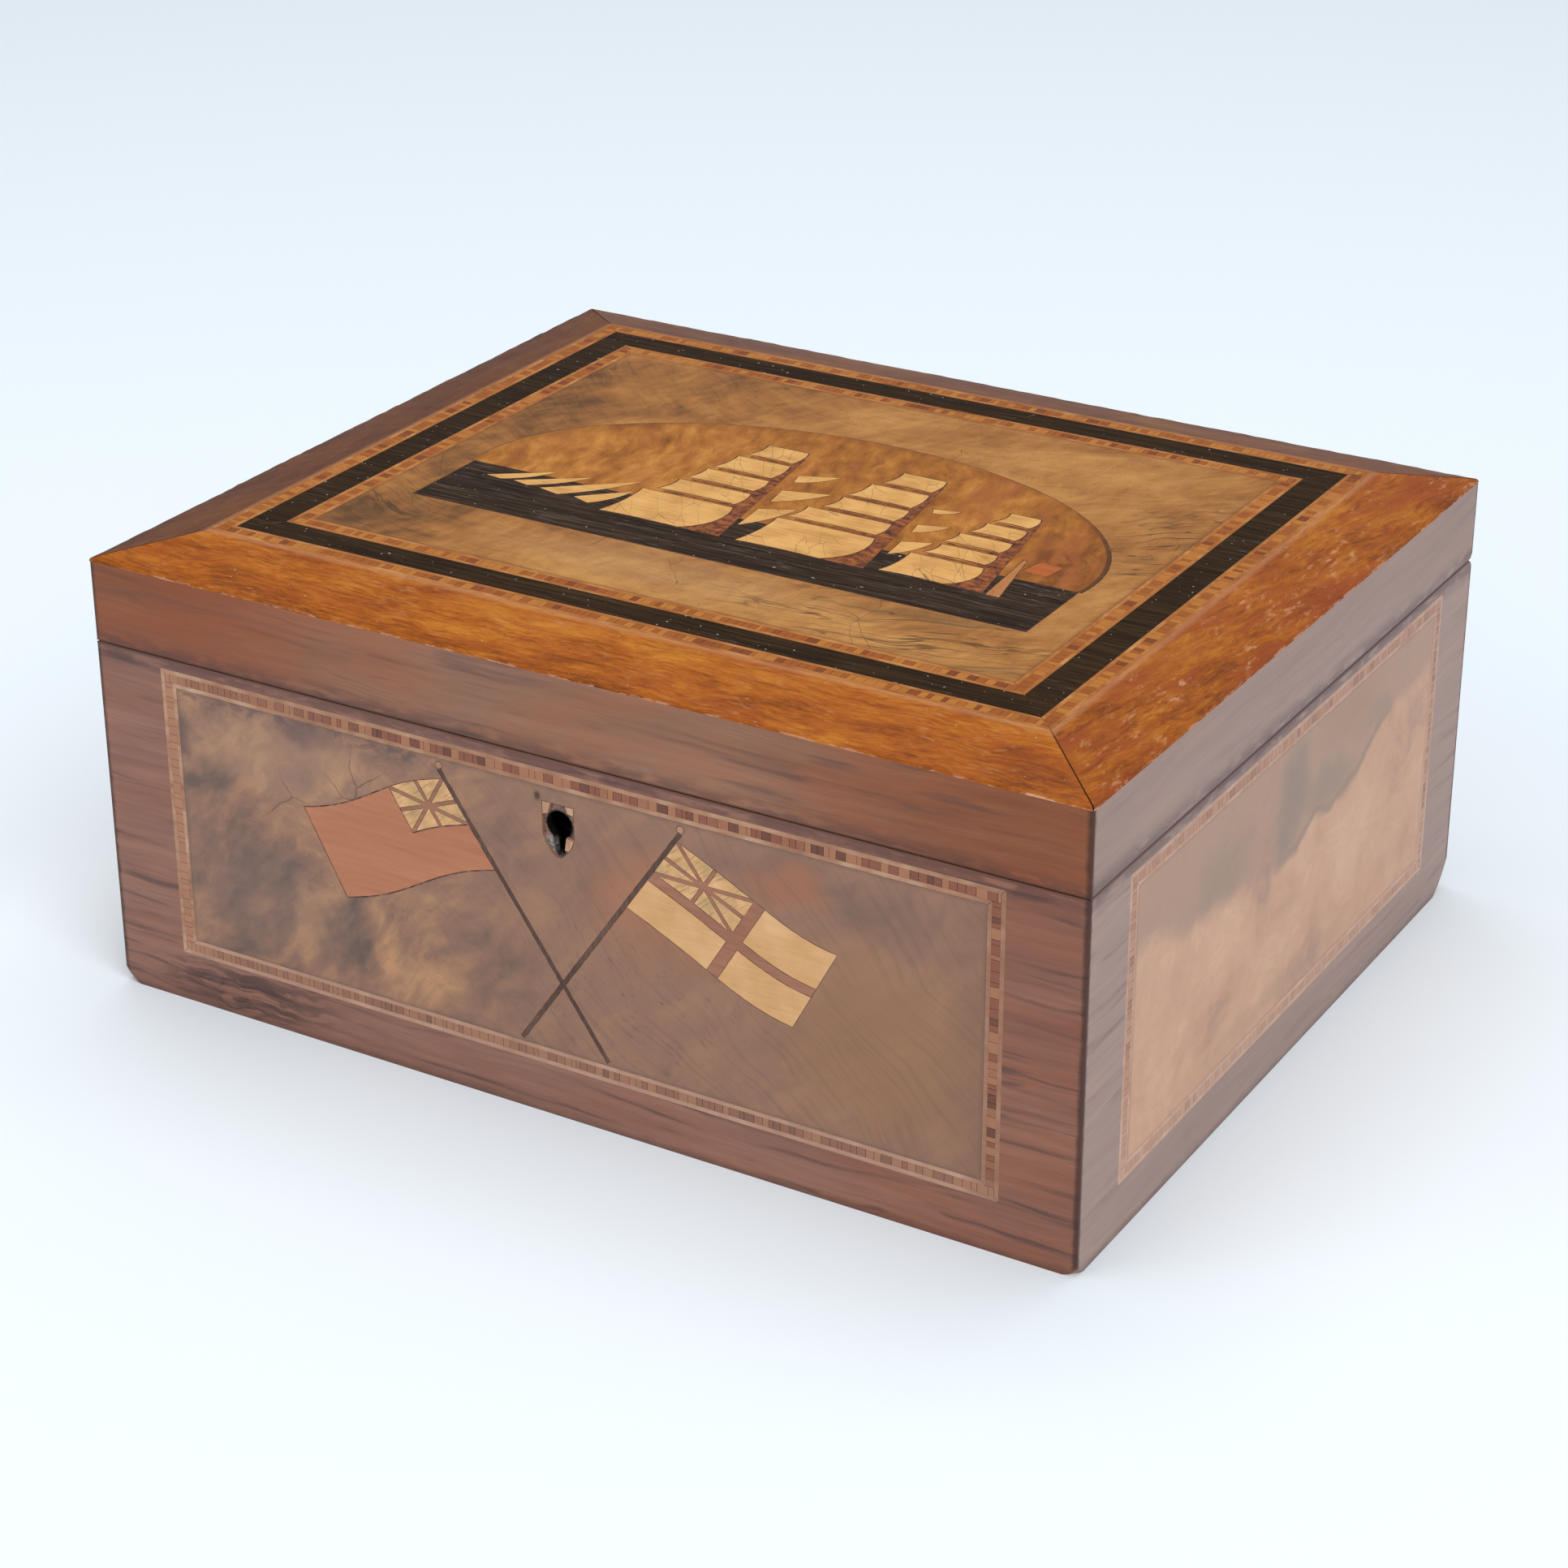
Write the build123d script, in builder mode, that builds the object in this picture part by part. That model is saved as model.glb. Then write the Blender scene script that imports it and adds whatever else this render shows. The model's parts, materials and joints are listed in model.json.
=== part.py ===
from build123d import *
from itertools import product
from math import cos, hypot, pi, radians, sin
import os

# A sailor's ditty box: five carcase boards, a hinged lid with a canted, veneered margin, a box
# lock behind a shield-shaped keyhole escutcheon, and marquetry on the lid and the front.
# Millimetres. The origin is the middle of the underside, X runs along the front to the right,
# Y from the front to the back and Z up.

# Overall sizes
box_length = 300.0
box_depth = 244.0
base_height = 104.6
seam = 0.4                  # shadow gap between the base and the lid
lid_edge_height = 24.0      # from the seam to the outer arris of the lid
panel_rise = 5.0            # the lid's flat panel above that arris
cant_width = 23.0           # width in plan of the lid's sloping margin

# Boards and veneers
board = 9.0
bottom_thickness = 9.0
lid_board = 9.0
veneer = 1.0
joint = 0.1                 # open hairline between neighbouring mitred strips
corner_wear = {(1, 1): 10.0, (-1, -1): 5.0, (1, -1): 4.0, (-1, 1): 3.0}

# Bandings: two pale strings with a chequered core between them
string_width = 1.2
lid_core = 2.9
face_core = 2.5
ebony_width = 9.5
face_margin_side = 22.0
face_margin_bottom = 15.0
face_margin_top = 3.0

# The picture on the lid: a half-oval sky over an ebony sea, drawn for a field of this size
ship_drawing = (213.8, 157.8)
sky_half_width = 96.4
sky_height = 63.0
sky_lift = 6.4              # the oval's centre above the horizon
sea_half_width = 95.0
sea_height = 29.5
horizon = -20.3             # Y of the line between sky and sea

# The ship's square sails, from the top row down, for each mast
sail_gap = 1.9
yard_width = 0.8
yard_share = 0.86           # share of the sail's width that the yard above it spans
yard_start = 0.03           # share of that width right of the yard
mast_rake = 0.06
mast_top_width = 1.4
mast_foot_width = 6.0
sail_belly = 0.9
belly_place = 0.55          # share of a sail's drop down to the fullest point of its edges
left_hollow = 1.8
foot_hollow = 0.45
sail_taper = 1.6            # how much wider a sail's foot is than its head
sheet_cut = 0.18            # share of a course's foot that its drawn-in corner leaves out
tall_drops = (9.7, 10.9, 9.0, 9.2, 20.0)
short_drops = (7.7, 7.9, 7.5, 7.5, 15.0)
masts = {
    "fore": {"x": -11.6, "top": 32.2, "drops": tall_drops, "widths": (16, 20, 23, 26, 32)},
    "main": {"x": 32.8, "top": 32.2, "drops": tall_drops, "widths": (16.5, 21, 23.5, 29, 33)},
    "mizzen": {"x": 67.6, "top": 20.2, "drops": short_drops, "widths": (12, 15, 18.5, 19.7, 24.7)},
}
# Jibs and staysails: tack, clew and head of each
jibs = (
    ((-86.0, -27.6), (-80.6, -28.4), (-69.6, -16.2)),
    ((-77.0, -27.4), (-71.4, -28.8), (-58.4, -14.6)),
    ((-67.4, -28.6), (-60.4, -30.4), (-44.8, -10.2)),
    ((-55.6, -29.4), (-49.6, -31.6), (-43.0, -17.6)),
)
staysails = (
    ((-10.2, 15.6), (-8.6, 10.2), (1.2, 19.8)),
    ((-8.4, 3.6), (-6.8, -5.4), (5.4, 7.4)),
    ((-7.0, -11.4), (-5.6, -24.6), (3.0, -7.0)),
    ((34.6, 12.2), (35.6, 9.4), (42.4, 14.2)),
    ((36.2, 0.2), (37.4, -5.6), (45.0, 2.8)),
    ((38.2, -12.6), (39.4, -22.4), (46.4, -9.4)),
)
blade_belly = 1.4
spanker = ((72.6, -7.8), (73.8, -7.8), (78.8, -33.6), (74.6, -33.6))
stern_flag = ((75.6, -14.6), (77.2, -6.4), (84.2, -7.4), (83.0, -15.2))

# Crossed ensigns on the front: the right one, mirrored for the left one, with X and Z from the
# middle of a field of this size
ensign_drawing = (246.2, 76.8)
staff_head = (36.8, 35.2)
staff_foot = (-13.5, -37.3)
staff_width = 1.3
hoist_below_head = 2.6
hoist_length = 27.4
fly_head = (82.0, 13.3)
fly_foot = (69.2, -10.7)
ensign_ripple = {-1: 1.2, 1: 0.0}
ensign_sag = {-1: 0.0, 1: 2.0}
ensign_steps = 14
finial_radius = 1.1
red_canton_fly = 0.38       # shares of the ensign's fly and hoist
red_canton_hoist = 0.5
cross_fly = (0.485, 0.55)
cross_hoist = (0.47, 0.58)
canton_bar = 1.1

# Keyhole and escutcheon
keyhole_drop = 18.1         # from the top of the base to the middle of the keyhole's head
keyhole_radius = 3.8
keyhole_neck = 5.4          # width of the tapered foot at the middle of the head
keyhole_foot_drop = 7.5
keyhole_foot_radius = 1.7
shield_width = 9.6
shield_height = 15.2
shield_rise = 6.0           # top of the shield above the keyhole's centre
shield_sides = 8.8          # length of its straight sides
haunch_width = 6.5          # width of the rounded part, this far above the point
haunch_rise = 2.6

# Hinges: butt hinges let in flush, with the pin line just inside the back face
hinge_inset = 55.0          # from the box's end to the middle of the hinge
hinge_length = 38.0
knuckles = 5
knuckle_radius = 2.2
knuckle_gap = 0.15
pin_radius = 0.9
pin_clearance = 0.05
leaf_thickness = 1.0
leaf_clearance = 0.3        # leaf and wood to the other leaf's knuckles
lid_opening = 100.0         # degrees
stop_clearance = 2.0        # degrees left between the planed back arrises at the stop
screw_spacing = 13.0

# Screws
screw_head_radius = 1.6
screw_head_depth = 0.8
screw_radius = 0.8
screw_length = 6.0
slot_width = 0.4
slot_depth = 0.35

# Lock
lock_width = 40.0
lock_height = 30.0
lock_plate_margin = 4.5
lock_depth = 7.0
lock_wall = 1.2
cap_thickness = 1.0
selvedge_thickness = 1.5
selvedge_margin = 1.0
bolt_throw = 4.5
bolt_thickness = 1.8
bolt_bar = 5.0
arm_width = 3.0
spring_thickness = 0.5
spring_root = 0.75
spring_bow = (0.72, 0.66)   # shares of the way from the spring's tip and root to its bend
staple_inset = 11.0         # from the lock case's end to the middle of the staple
staple_thickness = 2.0
staple_width = 4.4
staple_drop = 8.4
eye_width = 2.4
eye_height = 3.6
eye_foot = 1.6
bolt_clearance = 0.4
stud_radius = 1.0
stud_inset = 12.0
slot_clearance = 0.15
link_thickness = 1.2
link_length = 48.0
link_width = 8.0
link_screw_inset = 3.75

# Places that follow from the sizes
half_length = box_length / 2
half_depth = box_depth / 2
wall = board + veneer
lid_bottom = base_height + seam
lid_edge = lid_bottom + lid_edge_height
lid_top = lid_edge + panel_rise
rail_top = lid_edge - veneer - lid_board
flat_length = box_length - 2 * cant_width
flat_depth = box_depth - 2 * cant_width
hinge_axis_z = base_height + seam / 2
hinge_axis_y = half_depth - knuckle_radius
hinge_x = half_length - hinge_inset
lid_banding = 2 * string_width + lid_core
ebony_length = flat_length - 2 * lid_banding
ebony_depth = flat_depth - 2 * lid_banding
inner_length = ebony_length - 2 * ebony_width
inner_depth = ebony_depth - 2 * ebony_width
field_length = inner_length - 2 * lid_banding
field_depth = inner_depth - 2 * lid_banding
face_banding = 2 * string_width + face_core
band_height = base_height - face_margin_bottom - face_margin_top
band_centre = face_margin_bottom + band_height / 2
front_band_length = box_length - 2 * face_margin_side
side_band_length = box_depth - 2 * face_margin_side
face_field_height = band_height - 2 * face_banding
front_field_length = front_band_length - 2 * face_banding
side_field_length = side_band_length - 2 * face_banding
keyhole_z = base_height - keyhole_drop
keyhole_foot_z = keyhole_z - keyhole_foot_drop
lock_half = lock_width / 2
staple_x = (staple_inset - lock_half, lock_half - staple_inset)
stud_x = lock_half - stud_inset

front_plane = Plane(origin=(0, veneer - half_depth, 0), x_dir=(1, 0, 0), z_dir=(0, -1, 0))
back_plane = Plane(origin=(0, half_depth - veneer, 0), x_dir=(-1, 0, 0), z_dir=(0, 1, 0))
right_plane = Plane(origin=(half_length - veneer, 0, 0), x_dir=(0, 1, 0), z_dir=(1, 0, 0))
left_plane = Plane(origin=(veneer - half_length, 0, 0), x_dir=(0, -1, 0), z_dir=(-1, 0, 0))
lid_plane = Plane.XY.offset(lid_top - veneer)

nodes = {}


def keep(name, part):
    """Label a finished piece and keep it for export under its own name."""
    part.label = name
    nodes[name] = part


# ---------------------------------------------------------------- shared shapes


def worn_corner(x_side, y_side, wear):
    """What is worn off one bottom corner: the corner's cube outside a large ball."""
    centre = (x_side * (half_length - 2 * wear), y_side * (half_depth - 2 * wear), 2 * wear)
    with BuildPart() as corner:
        with Locations((x_side * (half_length - wear / 2), y_side * (half_depth - wear / 2), wear / 2)):
            Box(wear, wear, wear)
        with Locations(centre):
            Sphere(3 * wear, mode=Mode.SUBTRACT)
    return corner.part


def back_bevel():
    """The wedge planed off both back arrises, which stops the lid when they meet."""
    slope = radians(lid_opening / 2 + stop_clearance)
    reach = 2 * knuckle_radius
    with BuildPart() as wedge:
        with BuildSketch(Plane.YZ.offset(-half_length)):
            with BuildLine():
                Polyline(
                    (hinge_axis_y, hinge_axis_z),
                    (hinge_axis_y + reach * cos(slope), hinge_axis_z + reach * sin(slope)),
                    (hinge_axis_y + reach * cos(slope), hinge_axis_z - reach * sin(slope)),
                    close=True,
                )
            make_face()
        extrude(amount=box_length)
    return wedge.part


def hinge_pockets():
    """Room for the barrels and leaves of both hinges."""
    leaf_width = hinge_axis_y - (half_depth - wall)
    with BuildPart() as pockets:
        for x in (-hinge_x, hinge_x):
            with Locations(Location((x, hinge_axis_y, hinge_axis_z), (0, 90, 0))):
                Cylinder(knuckle_radius + leaf_clearance, hinge_length + 2 * leaf_clearance)
            with Locations((x, hinge_axis_y - leaf_width / 2, hinge_axis_z)):
                Box(hinge_length, leaf_width, seam + 2 * leaf_thickness)
    return pockets.part


def canted_block(bottom, edge, length, depth):
    """A slab up to the height of its edge, with a margin rising from there to the flat panel."""
    with BuildPart() as block:
        with BuildSketch(Plane.XY.offset(bottom)):
            Rectangle(length, depth)
        extrude(amount=edge - bottom)
        with BuildSketch(Plane.XY.offset(edge)):
            Rectangle(length, depth)
        with BuildSketch(Plane.XY.offset(edge + panel_rise)):
            Rectangle(flat_length, flat_depth)
        loft()
    return block.part


def mitred_strips(length, height, width):
    """Four strips just inside a rectangle, with an open hairline along each mitre."""
    with BuildSketch(mode=Mode.PRIVATE) as strips:
        Rectangle(length, height)
        Rectangle(length - 2 * width, height - 2 * width, mode=Mode.SUBTRACT)
        for x_side, y_side in product((-1, 1), (-1, 1)):
            with Locations((x_side * (length - width) / 2, y_side * (height - width) / 2)):
                Rectangle(2 * width, joint, rotation=45 * x_side * y_side, mode=Mode.SUBTRACT)
    return strips.sketch


def banding_strings(length, height, core):
    """The outer and inner pale strings of one banding."""
    inset = 2 * (string_width + core)
    with BuildSketch(mode=Mode.PRIVATE) as strings:
        add(mitred_strips(length, height, string_width))
        add(mitred_strips(length - inset, height - inset, string_width))
    return strings.sketch


def banding_core(length, height, core):
    """The chequered core between the strings of one banding."""
    return mitred_strips(length - 2 * string_width, height - 2 * string_width, core)


def raised(sketch, plane, place=(0, 0)):
    """A sketch laid on a plane and made one veneer thick."""
    with BuildPart() as sheet:
        with BuildSketch(plane):
            with Locations(place):
                add(sketch)
        extrude(amount=veneer)
    return sheet.part


def fitted(sketch, drawn_for, field, place=(0, 0)):
    """A sketch drawn about the middle of one field, scaled to fit another and placed in it."""
    size = min(field[0] / drawn_for[0], field[1] / drawn_for[1])
    with BuildSketch(mode=Mode.PRIVATE) as fit:
        with Locations(place):
            add(scale(sketch, by=size, mode=Mode.PRIVATE))
    return fit.sketch


def outline(*points):
    """A closed shape with straight sides."""
    with BuildSketch(mode=Mode.PRIVATE) as shape:
        with BuildLine():
            Polyline(*points, close=True)
        make_face()
    return shape.sketch


def screw_room(places, turn):
    """Countersunk holes for wood screws that go in along their own -Z."""
    with BuildPart() as room:
        with Locations([Location(place, turn) for place in places]):
            Cylinder(screw_radius, screw_length, align=(Align.CENTER, Align.CENTER, Align.MAX))
            Cone(
                screw_radius,
                screw_head_radius,
                screw_head_depth,
                align=(Align.CENTER, Align.CENTER, Align.MAX),
            )
    return room.part


def screws(places, turn):
    """The slotted screws that fill those holes."""
    with BuildPart() as group:
        add(screw_room(places, turn))
        with Locations([Location(place, turn) for place in places]):
            Box(
                2 * screw_head_radius,
                slot_width,
                slot_depth,
                align=(Align.CENTER, Align.CENTER, Align.MAX),
                mode=Mode.SUBTRACT,
            )
    return group.part


worn = [worn_corner(*side, wear) for side, wear in corner_wear.items()]
bevel = back_bevel()
pockets = hinge_pockets()

# ---------------------------------------------------------------- screw places

leaf_screw_y = (half_depth - wall + hinge_axis_y - knuckle_radius) / 2
leaf_screw_x = [x + i * screw_spacing for x in (-hinge_x, hinge_x) for i in (-1, 0, 1)]
base_leaf_screws = [(x, leaf_screw_y, base_height) for x in leaf_screw_x]
lid_leaf_screws = [(x, leaf_screw_y, lid_bottom) for x in leaf_screw_x]
lock_inner_y = wall - half_depth
lock_bottom = base_height - lock_height
plate_screw_x = lock_half + lock_plate_margin / 2
lock_screw_z = (lock_bottom + lock_plate_margin, base_height - selvedge_thickness - lock_plate_margin)
lock_screw_places = [(x, lock_inner_y, z) for x in (-plate_screw_x, plate_screw_x) for z in lock_screw_z]
link_y = lock_inner_y - link_width / 2
link_screw_x = link_length / 2 - link_screw_inset
link_screw_places = [(x, link_y, lid_bottom) for x in (-link_screw_x, link_screw_x)]
heads_up = (0, 0, 0)
heads_down = (180, 0, 0)
heads_inside = (-90, 0, 0)

# ---------------------------------------------------------------- keyhole


def keyhole():
    """The keyhole's outline: a round head and a tapered foot, on the front's X and Z."""
    with BuildSketch(mode=Mode.PRIVATE) as hole:
        with BuildLine():
            Polyline(
                (-keyhole_neck / 2, keyhole_z),
                (keyhole_neck / 2, keyhole_z),
                (keyhole_foot_radius, keyhole_foot_z),
                (-keyhole_foot_radius, keyhole_foot_z),
                close=True,
            )
        make_face()
        with Locations((0, keyhole_z)):
            Circle(keyhole_radius)
        with Locations((0, keyhole_foot_z)):
            Circle(keyhole_foot_radius)
    return hole.sketch


def shield():
    """The escutcheon's outline: a flat-topped shield that comes to a point."""
    top = keyhole_z + shield_rise
    foot = top - shield_height
    shoulder = top - shield_sides
    half = shield_width / 2
    haunch = haunch_width / 2
    with BuildSketch(mode=Mode.PRIVATE) as plate:
        with BuildLine():
            Line((-half, top), (half, top))
            Line((half, top), (half, shoulder))
            ThreePointArc((half, shoulder), (haunch, foot + haunch_rise), (0, foot))
            ThreePointArc((0, foot), (-haunch, foot + haunch_rise), (-half, shoulder))
            Line((-half, shoulder), (-half, top))
        make_face()
    return plate.sketch


# ---------------------------------------------------------------- base boards

board_length = box_length - 2 * veneer
board_depth = box_depth - 2 * veneer
side_length = board_depth - 2 * board
wall_height = base_height - bottom_thickness

with BuildPart() as bottom_board:
    with Locations((0, 0, bottom_thickness / 2)):
        Box(board_length, board_depth, bottom_thickness)
    for corner in worn:
        add(corner, mode=Mode.SUBTRACT)
keep("bottom_board", bottom_board.part)

with BuildPart() as front_board:
    with Locations((0, veneer + board / 2 - half_depth, bottom_thickness + wall_height / 2)):
        Box(board_length, board, wall_height)
    with Locations((0, lock_inner_y, base_height)):
        Box(
            lock_width,
            lock_depth,
            lock_height,
            align=(Align.CENTER, Align.MAX, Align.MAX),
            mode=Mode.SUBTRACT,
        )
        Box(
            lock_width + 2 * lock_plate_margin,
            lock_wall,
            lock_height,
            align=(Align.CENTER, Align.MAX, Align.MAX),
            mode=Mode.SUBTRACT,
        )
        Box(
            lock_width + 2 * lock_plate_margin,
            lock_depth + selvedge_margin,
            selvedge_thickness,
            align=(Align.CENTER, Align.MAX, Align.MAX),
            mode=Mode.SUBTRACT,
        )
    with BuildSketch(front_plane):
        add(keyhole())
    extrude(amount=-board, mode=Mode.SUBTRACT)
    add(screw_room(lock_screw_places, heads_inside), mode=Mode.SUBTRACT)
    for corner in worn:
        add(corner, mode=Mode.SUBTRACT)
keep("front_board", front_board.part)

with BuildPart() as back_board:
    with Locations((0, half_depth - veneer - board / 2, bottom_thickness + wall_height / 2)):
        Box(board_length, board, wall_height)
    add(bevel, mode=Mode.SUBTRACT)
    add(pockets, mode=Mode.SUBTRACT)
    add(screw_room(base_leaf_screws, heads_up), mode=Mode.SUBTRACT)
    for corner in worn:
        add(corner, mode=Mode.SUBTRACT)
keep("back_board", back_board.part)

for side, name in ((-1, "left_board"), (1, "right_board")):
    with BuildPart() as side_board:
        with Locations((side * (half_length - veneer - board / 2), 0, bottom_thickness + wall_height / 2)):
            Box(board, side_length, wall_height)
    keep(name, side_board.part)

# ---------------------------------------------------------------- lid boards

rail_height = rail_top - lid_bottom

with BuildPart() as lid_top_board:
    add(canted_block(rail_top, lid_edge - veneer, box_length, box_depth))
    with Locations((0, 0, lid_edge)):
        Box(board_length, board_depth, 2 * lid_edge, mode=Mode.INTERSECT)
keep("lid_top_board", lid_top_board.part)

with BuildPart() as lid_front_rail:
    with Locations((0, veneer + board / 2 - half_depth, lid_bottom + rail_height / 2)):
        Box(board_length, board, rail_height)
    with Locations((0, link_y, lid_bottom + link_thickness / 2)):
        Box(link_length, link_width, link_thickness, mode=Mode.SUBTRACT)
    add(screw_room(link_screw_places, heads_down), mode=Mode.SUBTRACT)
keep("lid_front_rail", lid_front_rail.part)

with BuildPart() as lid_back_rail:
    with Locations((0, half_depth - veneer - board / 2, lid_bottom + rail_height / 2)):
        Box(board_length, board, rail_height)
    add(bevel, mode=Mode.SUBTRACT)
    add(pockets, mode=Mode.SUBTRACT)
    add(screw_room(lid_leaf_screws, heads_down), mode=Mode.SUBTRACT)
keep("lid_back_rail", lid_back_rail.part)

for side, name in ((-1, "lid_left_rail"), (1, "lid_right_rail")):
    with BuildPart() as side_rail:
        with Locations((side * (half_length - veneer - board / 2), 0, lid_bottom + rail_height / 2)):
            Box(board, side_length, rail_height)
    keep(name, side_rail.part)

# ---------------------------------------------------------------- ensigns on the front


staff_run = hypot(staff_foot[0] - staff_head[0], staff_foot[1] - staff_head[1])
staff_way = ((staff_foot[0] - staff_head[0]) / staff_run, (staff_foot[1] - staff_head[1]) / staff_run)
hoist_head = (
    staff_head[0] + hoist_below_head * staff_way[0] - staff_width / 2 * staff_way[1],
    staff_head[1] + hoist_below_head * staff_way[1] + staff_width / 2 * staff_way[0],
)
fly_stops = sorted([i / ensign_steps for i in range(ensign_steps + 1)] + [red_canton_fly, *cross_fly])


hoist_foot = (
    hoist_head[0] + hoist_length * staff_way[0],
    hoist_head[1] + hoist_length * staff_way[1],
)


def ensign_point(side, fly, hoist):
    """A point of the ensign at shares of its fly and hoist, waved upwards along the fly."""
    head = [(1 - fly) * a + fly * b for a, b in zip(hoist_head, fly_head)]
    foot = [(1 - fly) * a + fly * b for a, b in zip(hoist_foot, fly_foot)]
    wave = ensign_ripple[side] * sin(2 * pi * fly) - ensign_sag[side] * sin(pi * fly**2)
    x = (1 - hoist) * head[0] + hoist * foot[0]
    z = (1 - hoist) * head[1] + hoist * foot[1] + wave
    return (side * x, z)


def ensign_cell(side, fly, hoist):
    """One panel of the ensign between two shares of the fly and two of the hoist."""
    shares = [stop for stop in fly_stops if fly[0] <= stop <= fly[1]]
    upper = [ensign_point(side, share, hoist[0]) for share in shares]
    lower = [ensign_point(side, share, hoist[1]) for share in reversed(shares)]
    return outline(*upper, *lower)


def ensign_cells(side, *cells):
    """Several panels of one ensign as one sketch."""
    with BuildSketch(mode=Mode.PRIVATE) as panels:
        for fly, hoist in cells:
            add(ensign_cell(side, fly, hoist))
    return panels.sketch


def canton_bars(side, fly, hoist):
    """The upright and diagonal crosses of a canton, kept inside it."""
    corners = [ensign_point(side, f, h) for f, h in product((0, fly), (0, hoist))]
    middle_shares = ((0, hoist / 2), (fly, hoist / 2), (fly / 2, 0), (fly / 2, hoist))
    middles = [ensign_point(side, *shares) for shares in middle_shares]
    pairs = ((corners[0], corners[3]), (corners[1], corners[2]), middles[:2], middles[2:])
    with BuildSketch(mode=Mode.PRIVATE) as bars:
        for start, end in pairs:
            add(bar(start, end, canton_bar))
        add(ensign_cell(side, (0, fly), (0, hoist)), mode=Mode.INTERSECT)
    return bars.sketch


def bar(start, end, width):
    """A straight strip of a given width from one point to another."""
    run = hypot(end[0] - start[0], end[1] - start[1])
    across = ((start[1] - end[1]) / run * width / 2, (end[0] - start[0]) / run * width / 2)
    return outline(
        (start[0] + across[0], start[1] + across[1]),
        (end[0] + across[0], end[1] + across[1]),
        (end[0] - across[0], end[1] - across[1]),
        (start[0] - across[0], start[1] - across[1]),
    )


red_side, white_side = -1, 1
canton_white = ((0, cross_fly[0]), (0, cross_hoist[0]))
canton_red = ((0, red_canton_fly), (0, red_canton_hoist))

with BuildSketch() as canton_crosses:
    add(canton_bars(red_side, red_canton_fly, red_canton_hoist))
    add(canton_bars(white_side, cross_fly[0], cross_hoist[0]))

with BuildSketch() as ensign_crosses:
    add(ensign_cells(white_side, (cross_fly, (0, 1)), ((0, 1), cross_hoist)))
    add(canton_crosses.sketch)

with BuildSketch() as ensign_cantons:
    add(ensign_cells(red_side, canton_red))
    add(ensign_cells(white_side, canton_white))
    add(canton_crosses.sketch, mode=Mode.SUBTRACT)

with BuildSketch() as red_ensign_field:
    add(ensign_cells(red_side, ((red_canton_fly, 1), (0, 1)), ((0, red_canton_fly), (red_canton_hoist, 1))))

with BuildSketch() as white_ensign_panels:
    add(ensign_cells(white_side, ((cross_fly[1], 1), (0, cross_hoist[0]))))
    add(ensign_cells(white_side, ((0, cross_fly[0]), (cross_hoist[1], 1))))
    add(ensign_cells(white_side, ((cross_fly[1], 1), (cross_hoist[1], 1))))

with BuildSketch() as flagstaffs:
    for side in (-1, 1):
        add(bar((side * staff_head[0], staff_head[1]), (side * staff_foot[0], staff_foot[1]), staff_width))

with BuildSketch() as finials:
    with Locations([(side * staff_head[0], staff_head[1] + finial_radius) for side in (-1, 1)]):
        Circle(finial_radius)
    add(flagstaffs.sketch, mode=Mode.SUBTRACT)

with BuildSketch() as ensign_shapes:
    for drawn in (red_ensign_field, white_ensign_panels, ensign_cantons, ensign_crosses):
        add(drawn.sketch)

with BuildSketch() as bare_staffs:
    add(flagstaffs.sketch)
    add(ensign_shapes.sketch, mode=Mode.SUBTRACT)

drawn_sheets = {
    "red_ensign_field": red_ensign_field,
    "white_ensign_panels": white_ensign_panels,
    "ensign_cantons": ensign_cantons,
    "ensign_crosses": ensign_crosses,
    "front_flagstaffs": bare_staffs,
    "staff_finials": finials,
}
front_field_size = (front_field_length, face_field_height)
ensign_sheets = {
    name: fitted(drawn.sketch, ensign_drawing, front_field_size, (0, band_centre))
    for name, drawn in drawn_sheets.items()
}

# ---------------------------------------------------------------- base veneers


def face_sheets(name, plane, length, band_length):
    """The border, strings and core of a banded face, with its field left to the caller."""
    with BuildPart() as border:
        with BuildSketch(plane):
            with Locations((0, base_height / 2)):
                Rectangle(length, base_height)
            with Locations((0, band_centre)):
                Rectangle(band_length, band_height, mode=Mode.SUBTRACT)
        extrude(amount=veneer)
        for corner in worn:
            add(corner, mode=Mode.SUBTRACT)
        add(bevel, mode=Mode.SUBTRACT)
    keep(f"{name}_border_veneer", border.part)
    place = (0, band_centre)
    keep(f"{name}_stringing", raised(banding_strings(band_length, band_height, face_core), plane, place))
    keep(f"{name}_chequer_band", raised(banding_core(band_length, band_height, face_core), plane, place))


face_sheets("front", front_plane, box_length, front_band_length)
with BuildPart() as front_field:
    with BuildSketch(front_plane):
        with Locations((0, band_centre)):
            Rectangle(front_field_length, face_field_height)
        for sheet in ensign_sheets.values():
            add(sheet, mode=Mode.SUBTRACT)
        add(shield(), mode=Mode.SUBTRACT)
        add(keyhole(), mode=Mode.SUBTRACT)
    extrude(amount=veneer)
keep("front_field_veneer", front_field.part)

for name, sheet in ensign_sheets.items():
    keep(name, raised(sheet, front_plane))

with BuildPart() as keyhole_escutcheon:
    with BuildSketch(front_plane):
        add(shield())
        add(keyhole(), mode=Mode.SUBTRACT)
    extrude(amount=veneer)
keep("keyhole_escutcheon", keyhole_escutcheon.part)

for name, plane in (("right", right_plane), ("left", left_plane)):
    face_sheets(name, plane, box_depth - 2 * veneer, side_band_length)
    with BuildPart() as side_field:
        with BuildSketch(plane):
            with Locations((0, band_centre)):
                Rectangle(side_field_length, face_field_height)
        extrude(amount=veneer)
    keep(f"{name}_field_veneer", side_field.part)

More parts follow.
